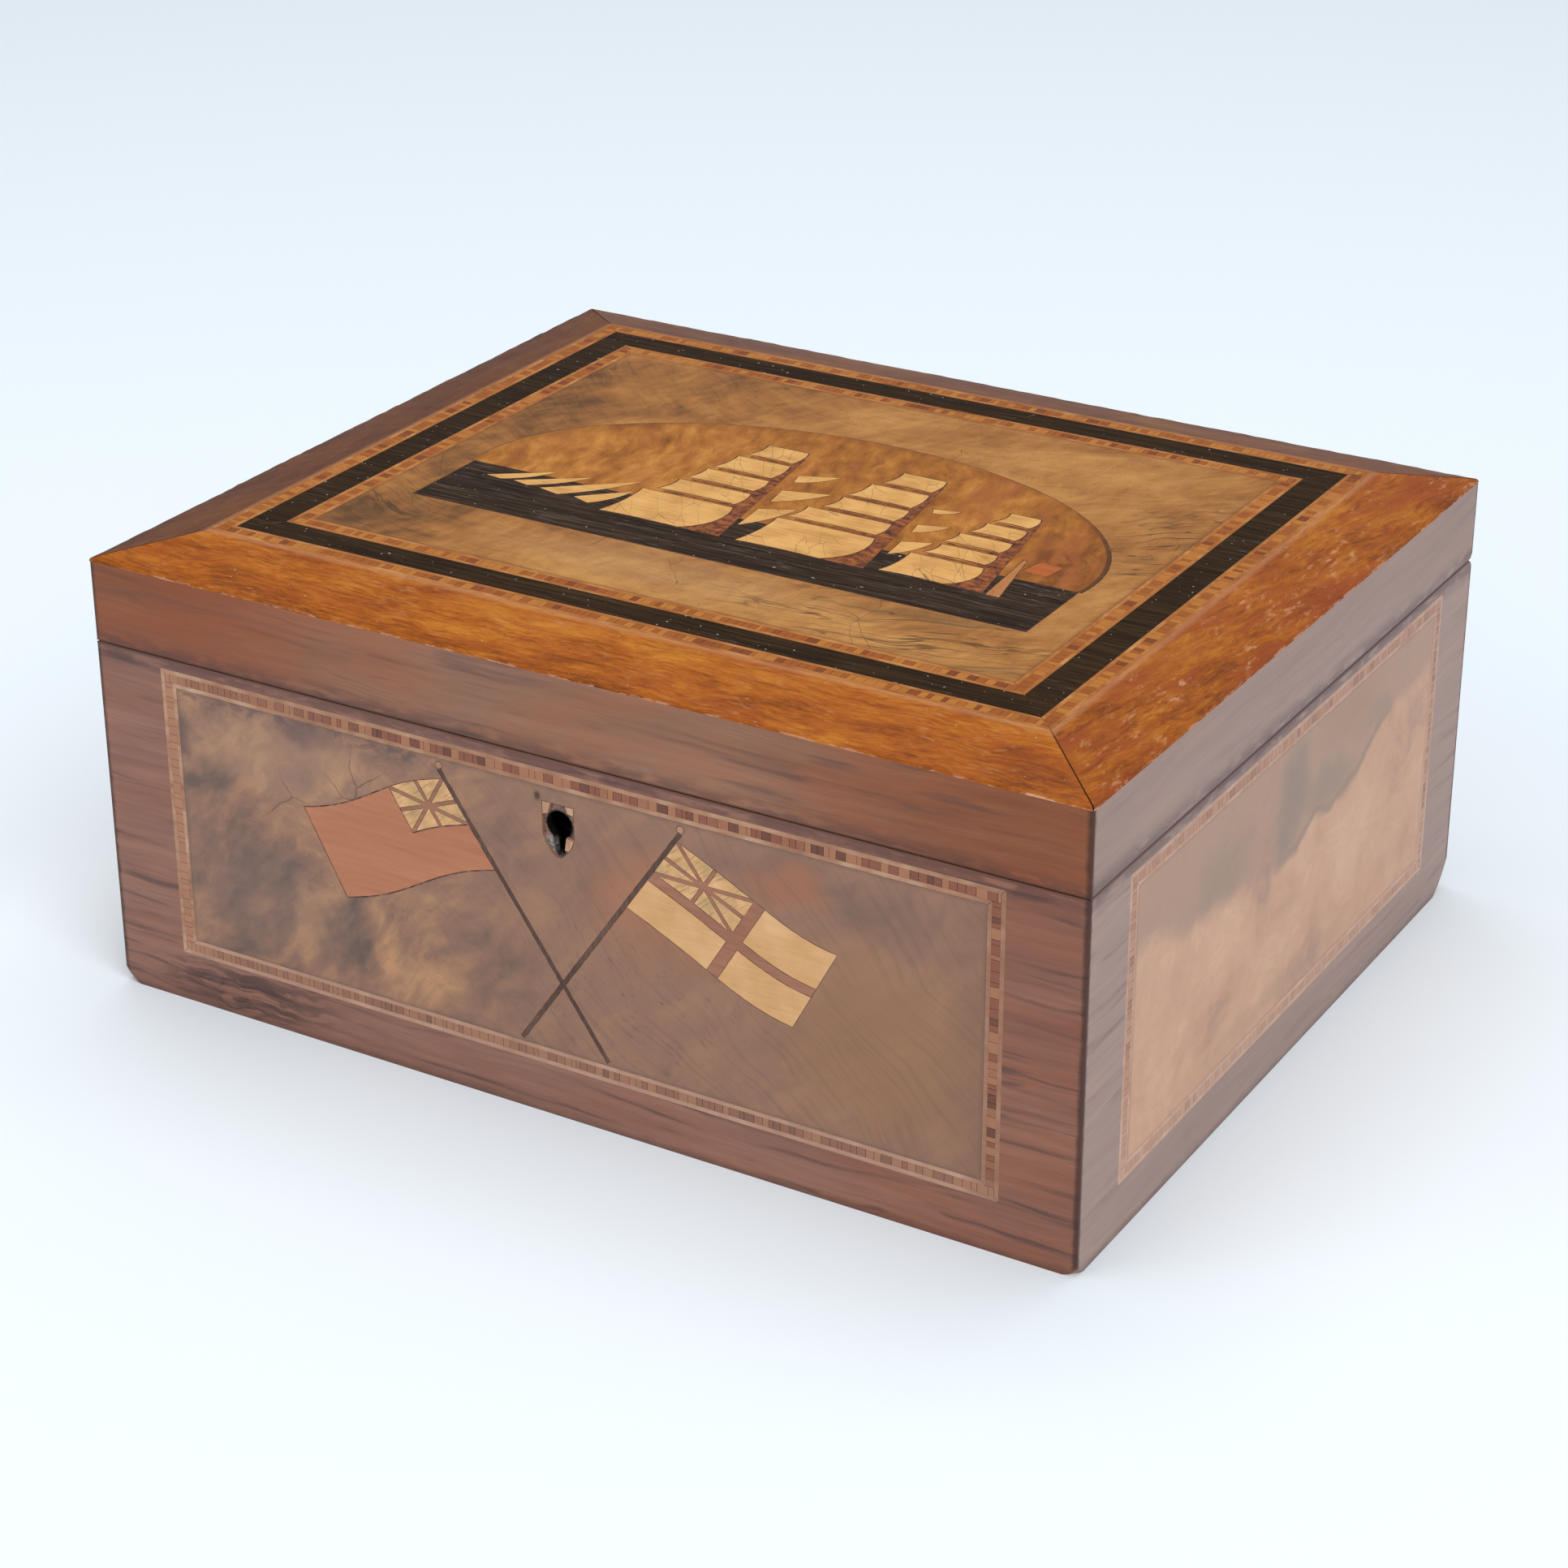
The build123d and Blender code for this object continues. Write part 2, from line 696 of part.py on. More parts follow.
with BuildPart() as back_veneer:
    with BuildSketch(back_plane):
        with Locations((0, base_height / 2)):
            Rectangle(box_length, base_height)
    extrude(amount=veneer)
    add(bevel, mode=Mode.SUBTRACT)
    add(pockets, mode=Mode.SUBTRACT)
    for corner in worn:
        add(corner, mode=Mode.SUBTRACT)
keep("back_veneer", back_veneer.part)

# ---------------------------------------------------------------- lid veneers

lid_face_height = lid_edge - veneer - lid_bottom
lid_faces = {
    "lid_front_veneer": (front_plane, box_length),
    "lid_back_veneer": (back_plane, box_length),
    "lid_right_veneer": (right_plane, box_depth - 2 * veneer),
    "lid_left_veneer": (left_plane, box_depth - 2 * veneer),
}
for name, (plane, length) in lid_faces.items():
    with BuildPart() as lid_face:
        with BuildSketch(plane):
            with Locations((0, lid_bottom + lid_face_height / 2)):
                Rectangle(length, lid_face_height)
        extrude(amount=veneer)
        add(bevel, mode=Mode.SUBTRACT)
        add(pockets, mode=Mode.SUBTRACT)
    keep(name, lid_face.part)

with BuildPart() as lid_canted_border:
    with BuildSketch(Plane.XY.offset(lid_edge - veneer)):
        add(mitred_strips(box_length, box_depth, cant_width))
    extrude(amount=veneer + panel_rise)
    add(canted_block(lid_edge - veneer, lid_edge, box_length, box_depth), mode=Mode.INTERSECT)
    add(canted_block(rail_top, lid_edge - veneer, box_length, box_depth), mode=Mode.SUBTRACT)
keep("lid_canted_border", lid_canted_border.part)

with BuildSketch() as lid_strings:
    add(banding_strings(flat_length, flat_depth, lid_core))
    add(banding_strings(inner_length, inner_depth, lid_core))
keep("lid_stringing", raised(lid_strings.sketch, lid_plane))

with BuildSketch() as lid_cores:
    add(banding_core(flat_length, flat_depth, lid_core))
    add(banding_core(inner_length, inner_depth, lid_core))
keep("lid_chequer_bands", raised(lid_cores.sketch, lid_plane))
keep("lid_ebony_band", raised(mitred_strips(ebony_length, ebony_depth, ebony_width), lid_plane))

# ---------------------------------------------------------------- the ship


def sail_foot(mast):
    """Y of the foot of a mast's lowest sail."""
    return mast["top"] - sum(mast["drops"]) - sail_gap * (len(mast["drops"]) - 1)


def leech(mast, y):
    """X of the sails' right edge at a height on the mast, which leans with the rake."""
    return mast["x"] - mast_rake * (y - sail_foot(mast))


def square_sail(right, head, width, drop, last):
    """One square sail: a wider foot than head, a bellied right edge and a hollow foot."""
    foot = head - drop
    fullest = head - belly_place * drop
    cut = sheet_cut * width if last else 0.0
    sheet = (right - sail_belly - cut, foot)
    with BuildSketch(mode=Mode.PRIVATE) as sail:
        with BuildLine():
            Line((right - width + sail_taper, head), (right - sail_belly, head))
            ThreePointArc((right - sail_belly, head), (right, fullest), sheet)
            ThreePointArc(
                sheet,
                (right - (width + cut) / 2, foot + foot_hollow),
                (right - width, foot),
            )
            ThreePointArc(
                (right - width, foot),
                (right - width + left_hollow, fullest),
                (right - width + sail_taper, head),
            )
        make_face()
    return sail.sketch


def fore_and_aft_sail(tack, clew, head):
    """A jib or staysail: straight along its foot and luff, and bellied from clew to head."""
    run = hypot(head[0] - clew[0], head[1] - clew[1])
    across = ((head[1] - clew[1]) / run, (clew[0] - head[0]) / run)
    middle = tuple((a + b) / 2 + blade_belly * c for a, b, c in zip(clew, head, across))
    with BuildSketch(mode=Mode.PRIVATE) as blade:
        with BuildLine():
            Line(tack, clew)
            ThreePointArc(clew, middle, head)
            Line(head, tack)
        make_face()
    return blade.sketch


with BuildSketch() as square_sails:
    for mast in masts.values():
        head = mast["top"]
        rows = len(mast["drops"])
        for row, (width, drop) in enumerate(zip(mast["widths"], mast["drops"])):
            right = leech(mast, head - drop / 2)
            add(square_sail(right, head, width, drop, last=row == rows - 1))
            head -= drop + sail_gap

with BuildSketch() as headsails:
    for tack, clew, head in jibs + staysails:
        add(fore_and_aft_sail(tack, clew, head))
    add(outline(*spanker))
    add(square_sails.sketch, mode=Mode.SUBTRACT)

with BuildSketch() as spars:
    for mast in masts.values():
        foot = sail_foot(mast)
        top = mast["top"] - mast["drops"][0] / 2
        add(
            outline(
                (leech(mast, top) - sail_belly, top),
                (leech(mast, top) - sail_belly + mast_top_width, top),
                (mast["x"] + mast_foot_width, foot),
                (mast["x"] - mast_foot_width, foot),
            )
        )
        head = mast["top"]
        for width, drop in zip(mast["widths"][:-1], mast["drops"][:-1]):
            head -= drop + sail_gap / 2
            right = leech(mast, head)
            with Locations((right - (yard_start + yard_share / 2) * width, head)):
                Rectangle(yard_share * width, yard_width)
            head -= sail_gap / 2
    add(square_sails.sketch, mode=Mode.SUBTRACT)
    add(headsails.sketch, mode=Mode.SUBTRACT)

with BuildSketch() as stern_colours:
    add(outline(*stern_flag))
    add(spars.sketch, mode=Mode.SUBTRACT)
    add(headsails.sketch, mode=Mode.SUBTRACT)

with BuildSketch() as sky_shape:
    with Locations((0, horizon + sky_lift)):
        Ellipse(sky_half_width, sky_height)
    with Locations((0, horizon)):
        Rectangle(2 * sky_half_width, sky_height, align=(Align.CENTER, Align.MAX), mode=Mode.SUBTRACT)

with BuildSketch() as sea_shape:
    with Locations((0, horizon)):
        Rectangle(2 * sea_half_width, sea_height, align=(Align.CENTER, Align.MAX))

with BuildSketch() as ship_shapes:
    for drawn in (square_sails, spars, headsails, stern_colours):
        add(drawn.sketch)

with BuildSketch() as sky_round_ship:
    add(sky_shape.sketch)
    add(ship_shapes.sketch, mode=Mode.SUBTRACT)

with BuildSketch() as sea_round_ship:
    add(sea_shape.sketch)
    add(ship_shapes.sketch, mode=Mode.SUBTRACT)

drawn_sheets = {
    "ship_sails": square_sails,
    "ship_masts": spars,
    "ship_headsails": headsails,
    "ship_flag": stern_colours,
    "lid_sky_veneer": sky_round_ship,
    "lid_sea_veneer": sea_round_ship,
}
ship_sheets = {
    name: fitted(drawn.sketch, ship_drawing, (field_length, field_depth))
    for name, drawn in drawn_sheets.items()
}
for name, sheet in ship_sheets.items():
    keep(name, raised(sheet, lid_plane))

with BuildPart() as lid_field:
    with BuildSketch(lid_plane):
        Rectangle(field_length, field_depth)
        for ground in (sky_shape, sea_shape):
            add(fitted(ground.sketch, ship_drawing, (field_length, field_depth)), mode=Mode.SUBTRACT)
    extrude(amount=veneer)
keep("lid_field_veneer", lid_field.part)

# ---------------------------------------------------------------- hinges

leaf_inner_y = half_depth - wall
knuckle_length = (hinge_length - (knuckles - 1) * knuckle_gap) / knuckles


def knuckle_x(hinge, index):
    """Middle of one knuckle along the hinge."""
    return hinge - hinge_length / 2 + knuckle_length / 2 + index * (knuckle_length + knuckle_gap)


def hinge_leaf(hinge, side, own_knuckles, screw_places):
    """One leaf: side is -1 for the base's and 1 for the lid's. It carries its own knuckles."""
    plate_reach = hinge_axis_y - knuckle_radius - leaf_clearance - leaf_inner_y
    plate_z = hinge_axis_z + side * (seam + leaf_thickness) / 2
    with BuildPart() as leaf:
        with Locations((hinge, leaf_inner_y + plate_reach / 2, plate_z)):
            Box(hinge_length, plate_reach, leaf_thickness)
        for index in own_knuckles:
            x = knuckle_x(hinge, index)
            with Locations((x, (leaf_inner_y + hinge_axis_y) / 2, plate_z)):
                Box(knuckle_length, hinge_axis_y - leaf_inner_y, leaf_thickness)
            with Locations(Location((x, hinge_axis_y, hinge_axis_z), (0, 90, 0))):
                Cylinder(knuckle_radius, knuckle_length)
        with Locations(Location((hinge, hinge_axis_y, hinge_axis_z), (0, 90, 0))):
            Cylinder(pin_radius + pin_clearance, hinge_length, mode=Mode.SUBTRACT)
        add(screw_room(screw_places, heads_down if side > 0 else heads_up), mode=Mode.SUBTRACT)
    return leaf.part


for name, x in (("left", -hinge_x), ("right", hinge_x)):
    keep(f"{name}_hinge_base_leaf", hinge_leaf(x, -1, range(0, knuckles, 2), base_leaf_screws))
    keep(f"{name}_hinge_lid_leaf", hinge_leaf(x, 1, range(1, knuckles, 2), lid_leaf_screws))
    with BuildPart() as hinge_pin:
        with Locations(Location((x, hinge_axis_y, hinge_axis_z), (0, 90, 0))):
            Cylinder(pin_radius, hinge_length)
    keep(f"{name}_hinge_pin", hinge_pin.part)

keep("hinge_base_screws", screws(base_leaf_screws, heads_up))
keep("hinge_lid_screws", screws(lid_leaf_screws, heads_down))

# ---------------------------------------------------------------- lock

lock_front_y = lock_inner_y - lock_depth
plate_face_y = lock_inner_y - lock_wall
cap_face_y = lock_front_y + cap_thickness
bolt_y = (plate_face_y + cap_face_y) / 2
selvedge_z = base_height - selvedge_thickness
staple_foot = lid_bottom - staple_drop
eye_z = staple_foot + eye_foot + eye_height / 2
bar_top = staple_foot - bolt_clearance
bar_z = bar_top - bolt_bar / 2
tongue_height = eye_height - 2 * bolt_clearance
tongue_length = bolt_throw - bolt_clearance
tongue_gap = bolt_throw / 4
bolt_left = staple_x[0] - staple_thickness / 2 - tongue_gap - tongue_length - arm_width
bolt_right = stud_x + bolt_bar

with BuildPart() as lock_case:
    with Locations((0, lock_inner_y, base_height)):
        Box(
            lock_width + 2 * lock_plate_margin,
            lock_wall,
            lock_height,
            align=(Align.CENTER, Align.MAX, Align.MAX),
        )
        Box(
            lock_width + 2 * lock_plate_margin,
            lock_depth + selvedge_margin,
            selvedge_thickness,
            align=(Align.CENTER, Align.MAX, Align.MAX),
        )
        Box(lock_width, lock_depth, lock_height, align=(Align.CENTER, Align.MAX, Align.MAX))
    with Locations((0, plate_face_y, selvedge_z)):
        Box(
            lock_width - 2 * lock_wall,
            lock_depth,
            lock_height - selvedge_thickness - lock_wall,
            align=(Align.CENTER, Align.MAX, Align.MAX),
            mode=Mode.SUBTRACT,
        )
    with Locations([(x, bolt_y, base_height) for x in staple_x]):
        Box(
            staple_thickness + 2 * bolt_clearance,
            staple_width + 2 * bolt_clearance,
            2 * selvedge_thickness,
            mode=Mode.SUBTRACT,
        )
    with Locations([Location((x, plate_face_y, bar_z), (90, 0, 0)) for x in (-stud_x, stud_x)]):
        Cylinder(stud_radius, plate_face_y - cap_face_y, align=(Align.CENTER, Align.CENTER, Align.MIN))
    add(screw_room(lock_screw_places, heads_inside), mode=Mode.SUBTRACT)
keep("lock_case", lock_case.part)

with BuildPart() as lock_cap:
    with Locations((0, lock_front_y, selvedge_z)):
        Box(
            lock_width - 2 * lock_wall,
            cap_thickness,
            lock_height - selvedge_thickness - lock_wall,
            align=(Align.CENTER, Align.MIN, Align.MAX),
        )
    with BuildSketch(front_plane.offset(-board)):
        add(keyhole())
    extrude(amount=board, mode=Mode.SUBTRACT)
keep("lock_cap", lock_cap.part)
keep("lock_screws", screws(lock_screw_places, heads_inside))

with BuildPart() as lock_bolt:
    with Locations((bolt_left, bolt_y, bar_top)):
        Box(
            bolt_right - bolt_left,
            bolt_thickness,
            bolt_bar,
            align=(Align.MIN, Align.CENTER, Align.MAX),
        )
    for x in staple_x:
        tip = x - staple_thickness / 2 - tongue_gap
        with Locations((tip - tongue_length, bolt_y, bar_top)):
            Box(
                arm_width,
                bolt_thickness,
                eye_z + tongue_height / 2 - bar_top,
                align=(Align.MAX, Align.CENTER, Align.MIN),
            )
        with Locations((tip, bolt_y, eye_z)):
            Box(
                tongue_length,
                bolt_thickness,
                tongue_height,
                align=(Align.MAX, Align.CENTER, Align.CENTER),
            )
    with BuildSketch(Plane.XZ.offset(-bolt_y)):
        with Locations([(x - bolt_throw / 2, bar_z) for x in (-stud_x, stud_x)]):
            SlotCenterToCenter(bolt_throw, 2 * (stud_radius + slot_clearance))
    extrude(amount=bolt_thickness, both=True, mode=Mode.SUBTRACT)
    with Locations((-bolt_throw / 2, bolt_y, bar_top - bolt_bar)):
        Box(bolt_bar, bolt_thickness, bolt_bar, mode=Mode.SUBTRACT)
keep("lock_bolt", lock_bolt.part)

arm_left = staple_x[1] - staple_thickness / 2 - tongue_gap - tongue_length - arm_width
spring_tip = staple_x[0] + staple_thickness / 2 + 2 * bolt_clearance
spring_top = selvedge_z - slot_clearance
spring_middle = (
    spring_tip + spring_bow[0] * (arm_left - spring_tip),
    bar_top + spring_bow[1] * (spring_top - bar_top),
)
with BuildPart() as bolt_spring:
    with BuildSketch(Plane.XZ.offset(-bolt_y)):
        with BuildLine():
            ThreePointArc((arm_left, bar_top), spring_middle, (spring_tip, spring_top))
            Line((spring_tip, spring_top), (spring_tip, spring_top - spring_thickness))
            ThreePointArc(
                (spring_tip, spring_top - spring_thickness),
                (spring_middle[0] - spring_thickness, spring_middle[1] - spring_thickness),
                (arm_left - spring_root, bar_top),
            )
            Line((arm_left - spring_root, bar_top), (arm_left, bar_top))
        make_face()
    extrude(amount=bolt_thickness / 2, both=True)
keep("bolt_spring", bolt_spring.part)

with BuildPart() as link_plate:
    with Locations((0, link_y, lid_bottom)):
        Box(link_length, link_width, link_thickness, align=(Align.CENTER, Align.CENTER, Align.MIN))
    with Locations([(x, bolt_y, lid_bottom) for x in staple_x]):
        Box(
            staple_thickness,
            staple_width,
            staple_drop,
            align=(Align.CENTER, Align.CENTER, Align.MAX),
        )
    with Locations([(x, bolt_y, eye_z) for x in staple_x]):
        Box(2 * staple_thickness, eye_width, eye_height, mode=Mode.SUBTRACT)
    add(screw_room(link_screw_places, heads_down), mode=Mode.SUBTRACT)
keep("link_plate", link_plate.part)
keep("link_plate_screws", screws(link_screw_places, heads_down))

# ---------------------------------------------------------------- one STEP file for each piece

os.makedirs("parts", exist_ok=True)
for name, part in nodes.items():
    export_step(part, f"parts/{name}.step")
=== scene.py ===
import json
import math
import random
from contextlib import contextmanager

import bpy
from bpy.props import FloatProperty, FloatVectorProperty, PointerProperty
from bpy.types import Operator, Panel, PropertyGroup
from mathutils import Matrix, Vector

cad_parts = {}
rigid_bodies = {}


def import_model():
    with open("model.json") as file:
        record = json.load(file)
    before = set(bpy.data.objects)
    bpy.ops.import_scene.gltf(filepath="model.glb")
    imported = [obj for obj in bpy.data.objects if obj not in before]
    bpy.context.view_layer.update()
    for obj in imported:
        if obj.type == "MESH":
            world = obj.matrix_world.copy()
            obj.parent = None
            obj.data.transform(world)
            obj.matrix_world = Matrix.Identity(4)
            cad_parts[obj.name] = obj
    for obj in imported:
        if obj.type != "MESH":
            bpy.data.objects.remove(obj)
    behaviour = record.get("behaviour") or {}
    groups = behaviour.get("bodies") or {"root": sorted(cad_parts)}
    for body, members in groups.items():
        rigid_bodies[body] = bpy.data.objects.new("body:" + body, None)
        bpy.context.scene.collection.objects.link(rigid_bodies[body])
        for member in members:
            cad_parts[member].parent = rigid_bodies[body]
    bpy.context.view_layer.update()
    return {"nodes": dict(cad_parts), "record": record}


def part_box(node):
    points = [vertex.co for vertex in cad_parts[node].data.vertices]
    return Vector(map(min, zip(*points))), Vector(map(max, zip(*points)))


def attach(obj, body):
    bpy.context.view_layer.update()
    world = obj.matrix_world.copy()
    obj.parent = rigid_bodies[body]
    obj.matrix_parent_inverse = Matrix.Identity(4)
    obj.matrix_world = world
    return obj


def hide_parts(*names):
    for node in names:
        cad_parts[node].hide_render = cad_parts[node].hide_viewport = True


bl_info = {
    "name": "Ditty Box",
    "version": (1, 0, 0),
    "blender": (4, 5, 0),
    "location": "3D View > Sidebar > Ditty Box",
    "description": "Veneers, marquetry and fittings of a sailor's ditty box",
    "category": "Object",
}

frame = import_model()
record = frame["record"]
body_of = {node: body for body, names in record["behaviour"]["bodies"].items() for node in names}

MM = 0.001
X, Y, Z = Vector((1, 0, 0)), Vector((0, 1, 0)), Vector((0, 0, 1))

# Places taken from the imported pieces
front_low, front_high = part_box("front_border_veneer")
margin_low, margin_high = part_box("lid_canted_border")
half_length = front_high.x
half_depth = -front_low.y
base_top = front_high.z
lid_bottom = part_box("lid_front_veneer")[0].z
margin_foot = margin_low.z
lid_top = margin_high.z

# The two faces that carry pictures: the number of the axis through each, and its place there in mm
FRONT = (1, -half_depth / MM)
LID = (2, lid_top / MM)

NEAR = 0.01 * MM            # a point this close to a plane lies on it
MERGED = 0.002 * MM         # points this close are one
FACING = 0.99               # cosine to the way outward, above which a face looks outward
SIDEWAYS = 0.1              # and below which it looks to the side
PATCH_DEPTH = 30            # reach in mm of a soft patch through the veneer
SKY_LIFT = 6.4              # height in mm of the sky's oval centre above the horizon


# ---------------------------------------------------------------- sizes and colours


def linear(code):
    """A colour written as six hexadecimal digits, in the linear values that Blender mixes."""
    parts = [int(code[i : i + 2], 16) / 255 for i in (0, 2, 4)]
    return tuple(c / 12.92 if c <= 0.04045 else ((c + 0.055) / 1.055) ** 2.4 for c in parts)


# Dark, middle and light tone of each wood, metal and glue
TONES = {
    "border": ("Brown crossbanding of the faces", "603c31", "8a6252", "a8806c"),
    "canted": ("Orange-brown margin of the lid", "5c2a0c", "9e5414", "c07c28"),
    "front_burr": ("Burr walnut of the front", "67544a", "926c58", "ba8a64"),
    "end_burr": ("Burr walnut of the two ends", "9c7c6c", "c4967a", "d6aa8c"),
    "lid_field": ("Figured walnut of the lid's field", "5e3c1e", "9c6530", "bc8648"),
    "sky": ("Mottled satinwood behind the ship", "743e12", "a06220", "c28238"),
    "sea": ("Ebony under the ship", "1e140e", "34261c", "544234"),
    "ebony": ("Ebony band of the lid", "1e130a", "30200f", "44301c"),
    "sail": ("Boxwood of the sails", "b07834", "d0984e", "e0ac64"),
    "spar": ("Red-brown wood between the sails", "3a1c0e", "7a3e1c", "a25c2a"),
    "red": ("Red wood of the ensign", "9c6046", "b27252", "c08260"),
    "flag": ("Orange-red wood of the ship's flag", "863e1c", "aa5824", "be7236"),
    "cross": ("Red-brown wood of the crosses", "80523e", "9c6a52", "ae7c62"),
    "cream": ("Cream wood of the white ensign", "c49660", "d2a06c", "dcae7c"),
    "canton": ("Cream wood of the ensigns' cantons", "bc9866", "d2a06c", "dcae7c"),
    "staff": ("Dark wood of the flagstaffs", "3a2620", "583e34", "705648"),
    "string": ("Pale strings of the front's banding", "8a5e46", "a87a5e", "c09a7e"),
    "lid_string": ("Pale strings of the lid's bandings", "804618", "a2622a", "be864c"),
    "end_string": ("Pale strings of the ends' bandings", "ac8068", "c4987e", "d8b098"),
    "block": ("Blocks of the front's banding", "6c463a", "885644", "a27054"),
    "lid_block": ("Blocks of the lid's bandings", "763a18", "94501a", "ac6c2a"),
    "end_block": ("Blocks of the ends' bandings", "a07664", "b4866e", "c0927a"),
    "pine": ("Varnished boards", "8a5a30", "b98550", "d3a671"),
    "shield": ("Escutcheon", "9a6c50", "ba8c70", "cca486"),
    "brass": ("Hinges and lock", "5e4a26", "a2823f", "c9a964"),
    "steel": ("Pins, screws, bolt and spring", "4c4a48", "86837f", "b3b0aa"),
    "dark_glue": ("Dirty glue lines of the lid and the escutcheon", "2a1912", "4a2d1d", "7a5434"),
    "pale_glue": ("Glue lines of the faces", "4a3028", "68483c", "8a6656"),
}

# Soft colour shifts of the bandings: an axis, where a shift starts and is full, its share and its colour
END_SHIFTS = (("Z", 20.0, 98.0, 0.3, "94705c"), ("Z", 50.0, 14.0, 0.3, "c8a894"))
BANDING_SHIFTS = {
    "end_string": END_SHIFTS,
    "end_block": END_SHIFTS,
    "string": (("Z", 24.0, 18.0, 0.4, "c09c8c"), ("X", 116.0, 124.0, 0.55, "906450")),
    "block": (
        ("Z", 24.0, 18.0, 0.35, "a07e6c"),
        ("X", -45.0, -100.0, 0.45, "9a6e58"),
        ("X", -116.0, -123.0, 0.6, "b48266"),
    ),
}


def length(name, description, default):
    """A length property in metres."""
    return FloatProperty(name=name, description=description, default=default, min=0, unit="LENGTH")


def angle(name, description, degrees):
    """An angle property."""
    return FloatProperty(name=name, description=description, default=math.radians(degrees), unit="ROTATION")


def tint(name, description, code):
    """A colour property."""
    return FloatVectorProperty(
        name=name, description=description, default=linear(code), min=0, max=1, subtype="COLOR"
    )


def tone_properties():
    """One colour property for each tone."""
    found = {}
    for wood, (covers, *codes) in TONES.items():
        for tone, code in zip(("dark", "middle", "light"), codes):
            label = f"{wood.replace('_', ' ').capitalize()}, {tone}"
            found[f"{wood}_{tone}"] = tint(label, f"{covers}: {tone} tone", code)
    return found


class DittyColours(PropertyGroup):
    """The tones of the woods and metals."""

    __annotations__ = tone_properties()


class DittySizes(PropertyGroup):
    """Small sizes of the veneering that the frame doesn't hold."""

    block_length: length("Block length", "Mean length of a block in a banding", 2.2 * MM)
    block_gap: length("Block gap", "Glue line between two blocks", 0.12 * MM)
    uneven: FloatProperty(name="Unevenness", description="How far block lengths vary", default=0.45)
    ease: length("Eased edge", "Width of the glue line round a piece of marquetry", 0.12 * MM)
    ease_depth: length("Eased depth", "How far that edge falls", 0.07 * MM)
    arris: length("Rounded arris", "Rounding of the box's outer arrises", 0.8 * MM)
    seam_edge: length("Seam edge", "Rounding along the seam between base and lid", 0.35 * MM)
    wear: length("Wear", "Depth of the dents along the lid's arris", 0.5 * MM)
    dent: length("Dent size", "Length of those dents", 3.5 * MM)
    fitting_edge: length("Fitting edge", "Bevel on the hinges and the lock", 0.2 * MM)


class DittyStage(PropertyGroup):
    """The camera, the floor and the light all round."""

    azimuth: angle("Azimuth", "Camera's turn to the right of the front", 30.796)
    elevation: angle("Elevation", "Camera's angle above the floor", 25.830)
    roll: angle("Roll", "Camera's tilt", -0.162)
    lens: FloatProperty(name="Lens", description="Focal length in millimetres", default=83.80, unit="CAMERA")
    eye: FloatVectorProperty(
        name="Camera",
        description="Place of the camera",
        default=(0.47465, -0.80612, 0.50022),
        subtype="TRANSLATION",
    )
    floor_size: length("Floor", "Side of the floor", 8.0)
    sky_colour: tint("Sky colour", "Colour of the even light all round", "c2c7cc")
    floor_colour: tint("Floor colour", "Colour of the floor", "e9f0f5")


# ---------------------------------------------------------------- shader nodes


class Socket:
    """A node's output, which takes part in Python expressions."""

    def __init__(self, tree, output):
        self.tree = tree
        self.output = output

    def math(self, operation, *values):
        """This value and others through one Math node."""
        return self.tree.maths(operation, self, *values)

    def __add__(self, other):
        return self.math("ADD", other)

    __radd__ = __add__

    def __sub__(self, other):
        return self.math("SUBTRACT", other)

    def __rsub__(self, other):
        return self.tree.maths("SUBTRACT", other, self)

    def __mul__(self, other):
        return self.math("MULTIPLY", other)

    __rmul__ = __mul__

    def __truediv__(self, other):
        return self.math("DIVIDE", other)

    def __abs__(self):
        return self.math("ABSOLUTE")


class Tree:
    """A node tree being built from nothing."""

    def __init__(self, owner):
        owner.use_nodes = True
        self.tree = owner.node_tree
        self.tree.nodes.clear()

    def node(self, kind, settings=None, sockets=None, out=0):
        """Add a node: its settings first, then the values or links of its sockets."""
        node = self.tree.nodes.new(kind)
        for key, value in (settings or {}).items():
            if key == "stops":
                set_stops(node.color_ramp, value)
            else:
                setattr(node, key, value)
        for key, value in (sockets or {}).items():
            if isinstance(value, Socket):
                self.tree.links.new(value.output, node.inputs[key])
            else:
                node.inputs[key].default_value = value
        return Socket(self, node.outputs[out]) if node.outputs else None

    def maths(self, operation, *values):
        """A Math node on values or links."""
        return self.node("ShaderNodeMath", {"operation": operation}, dict(enumerate(values)))


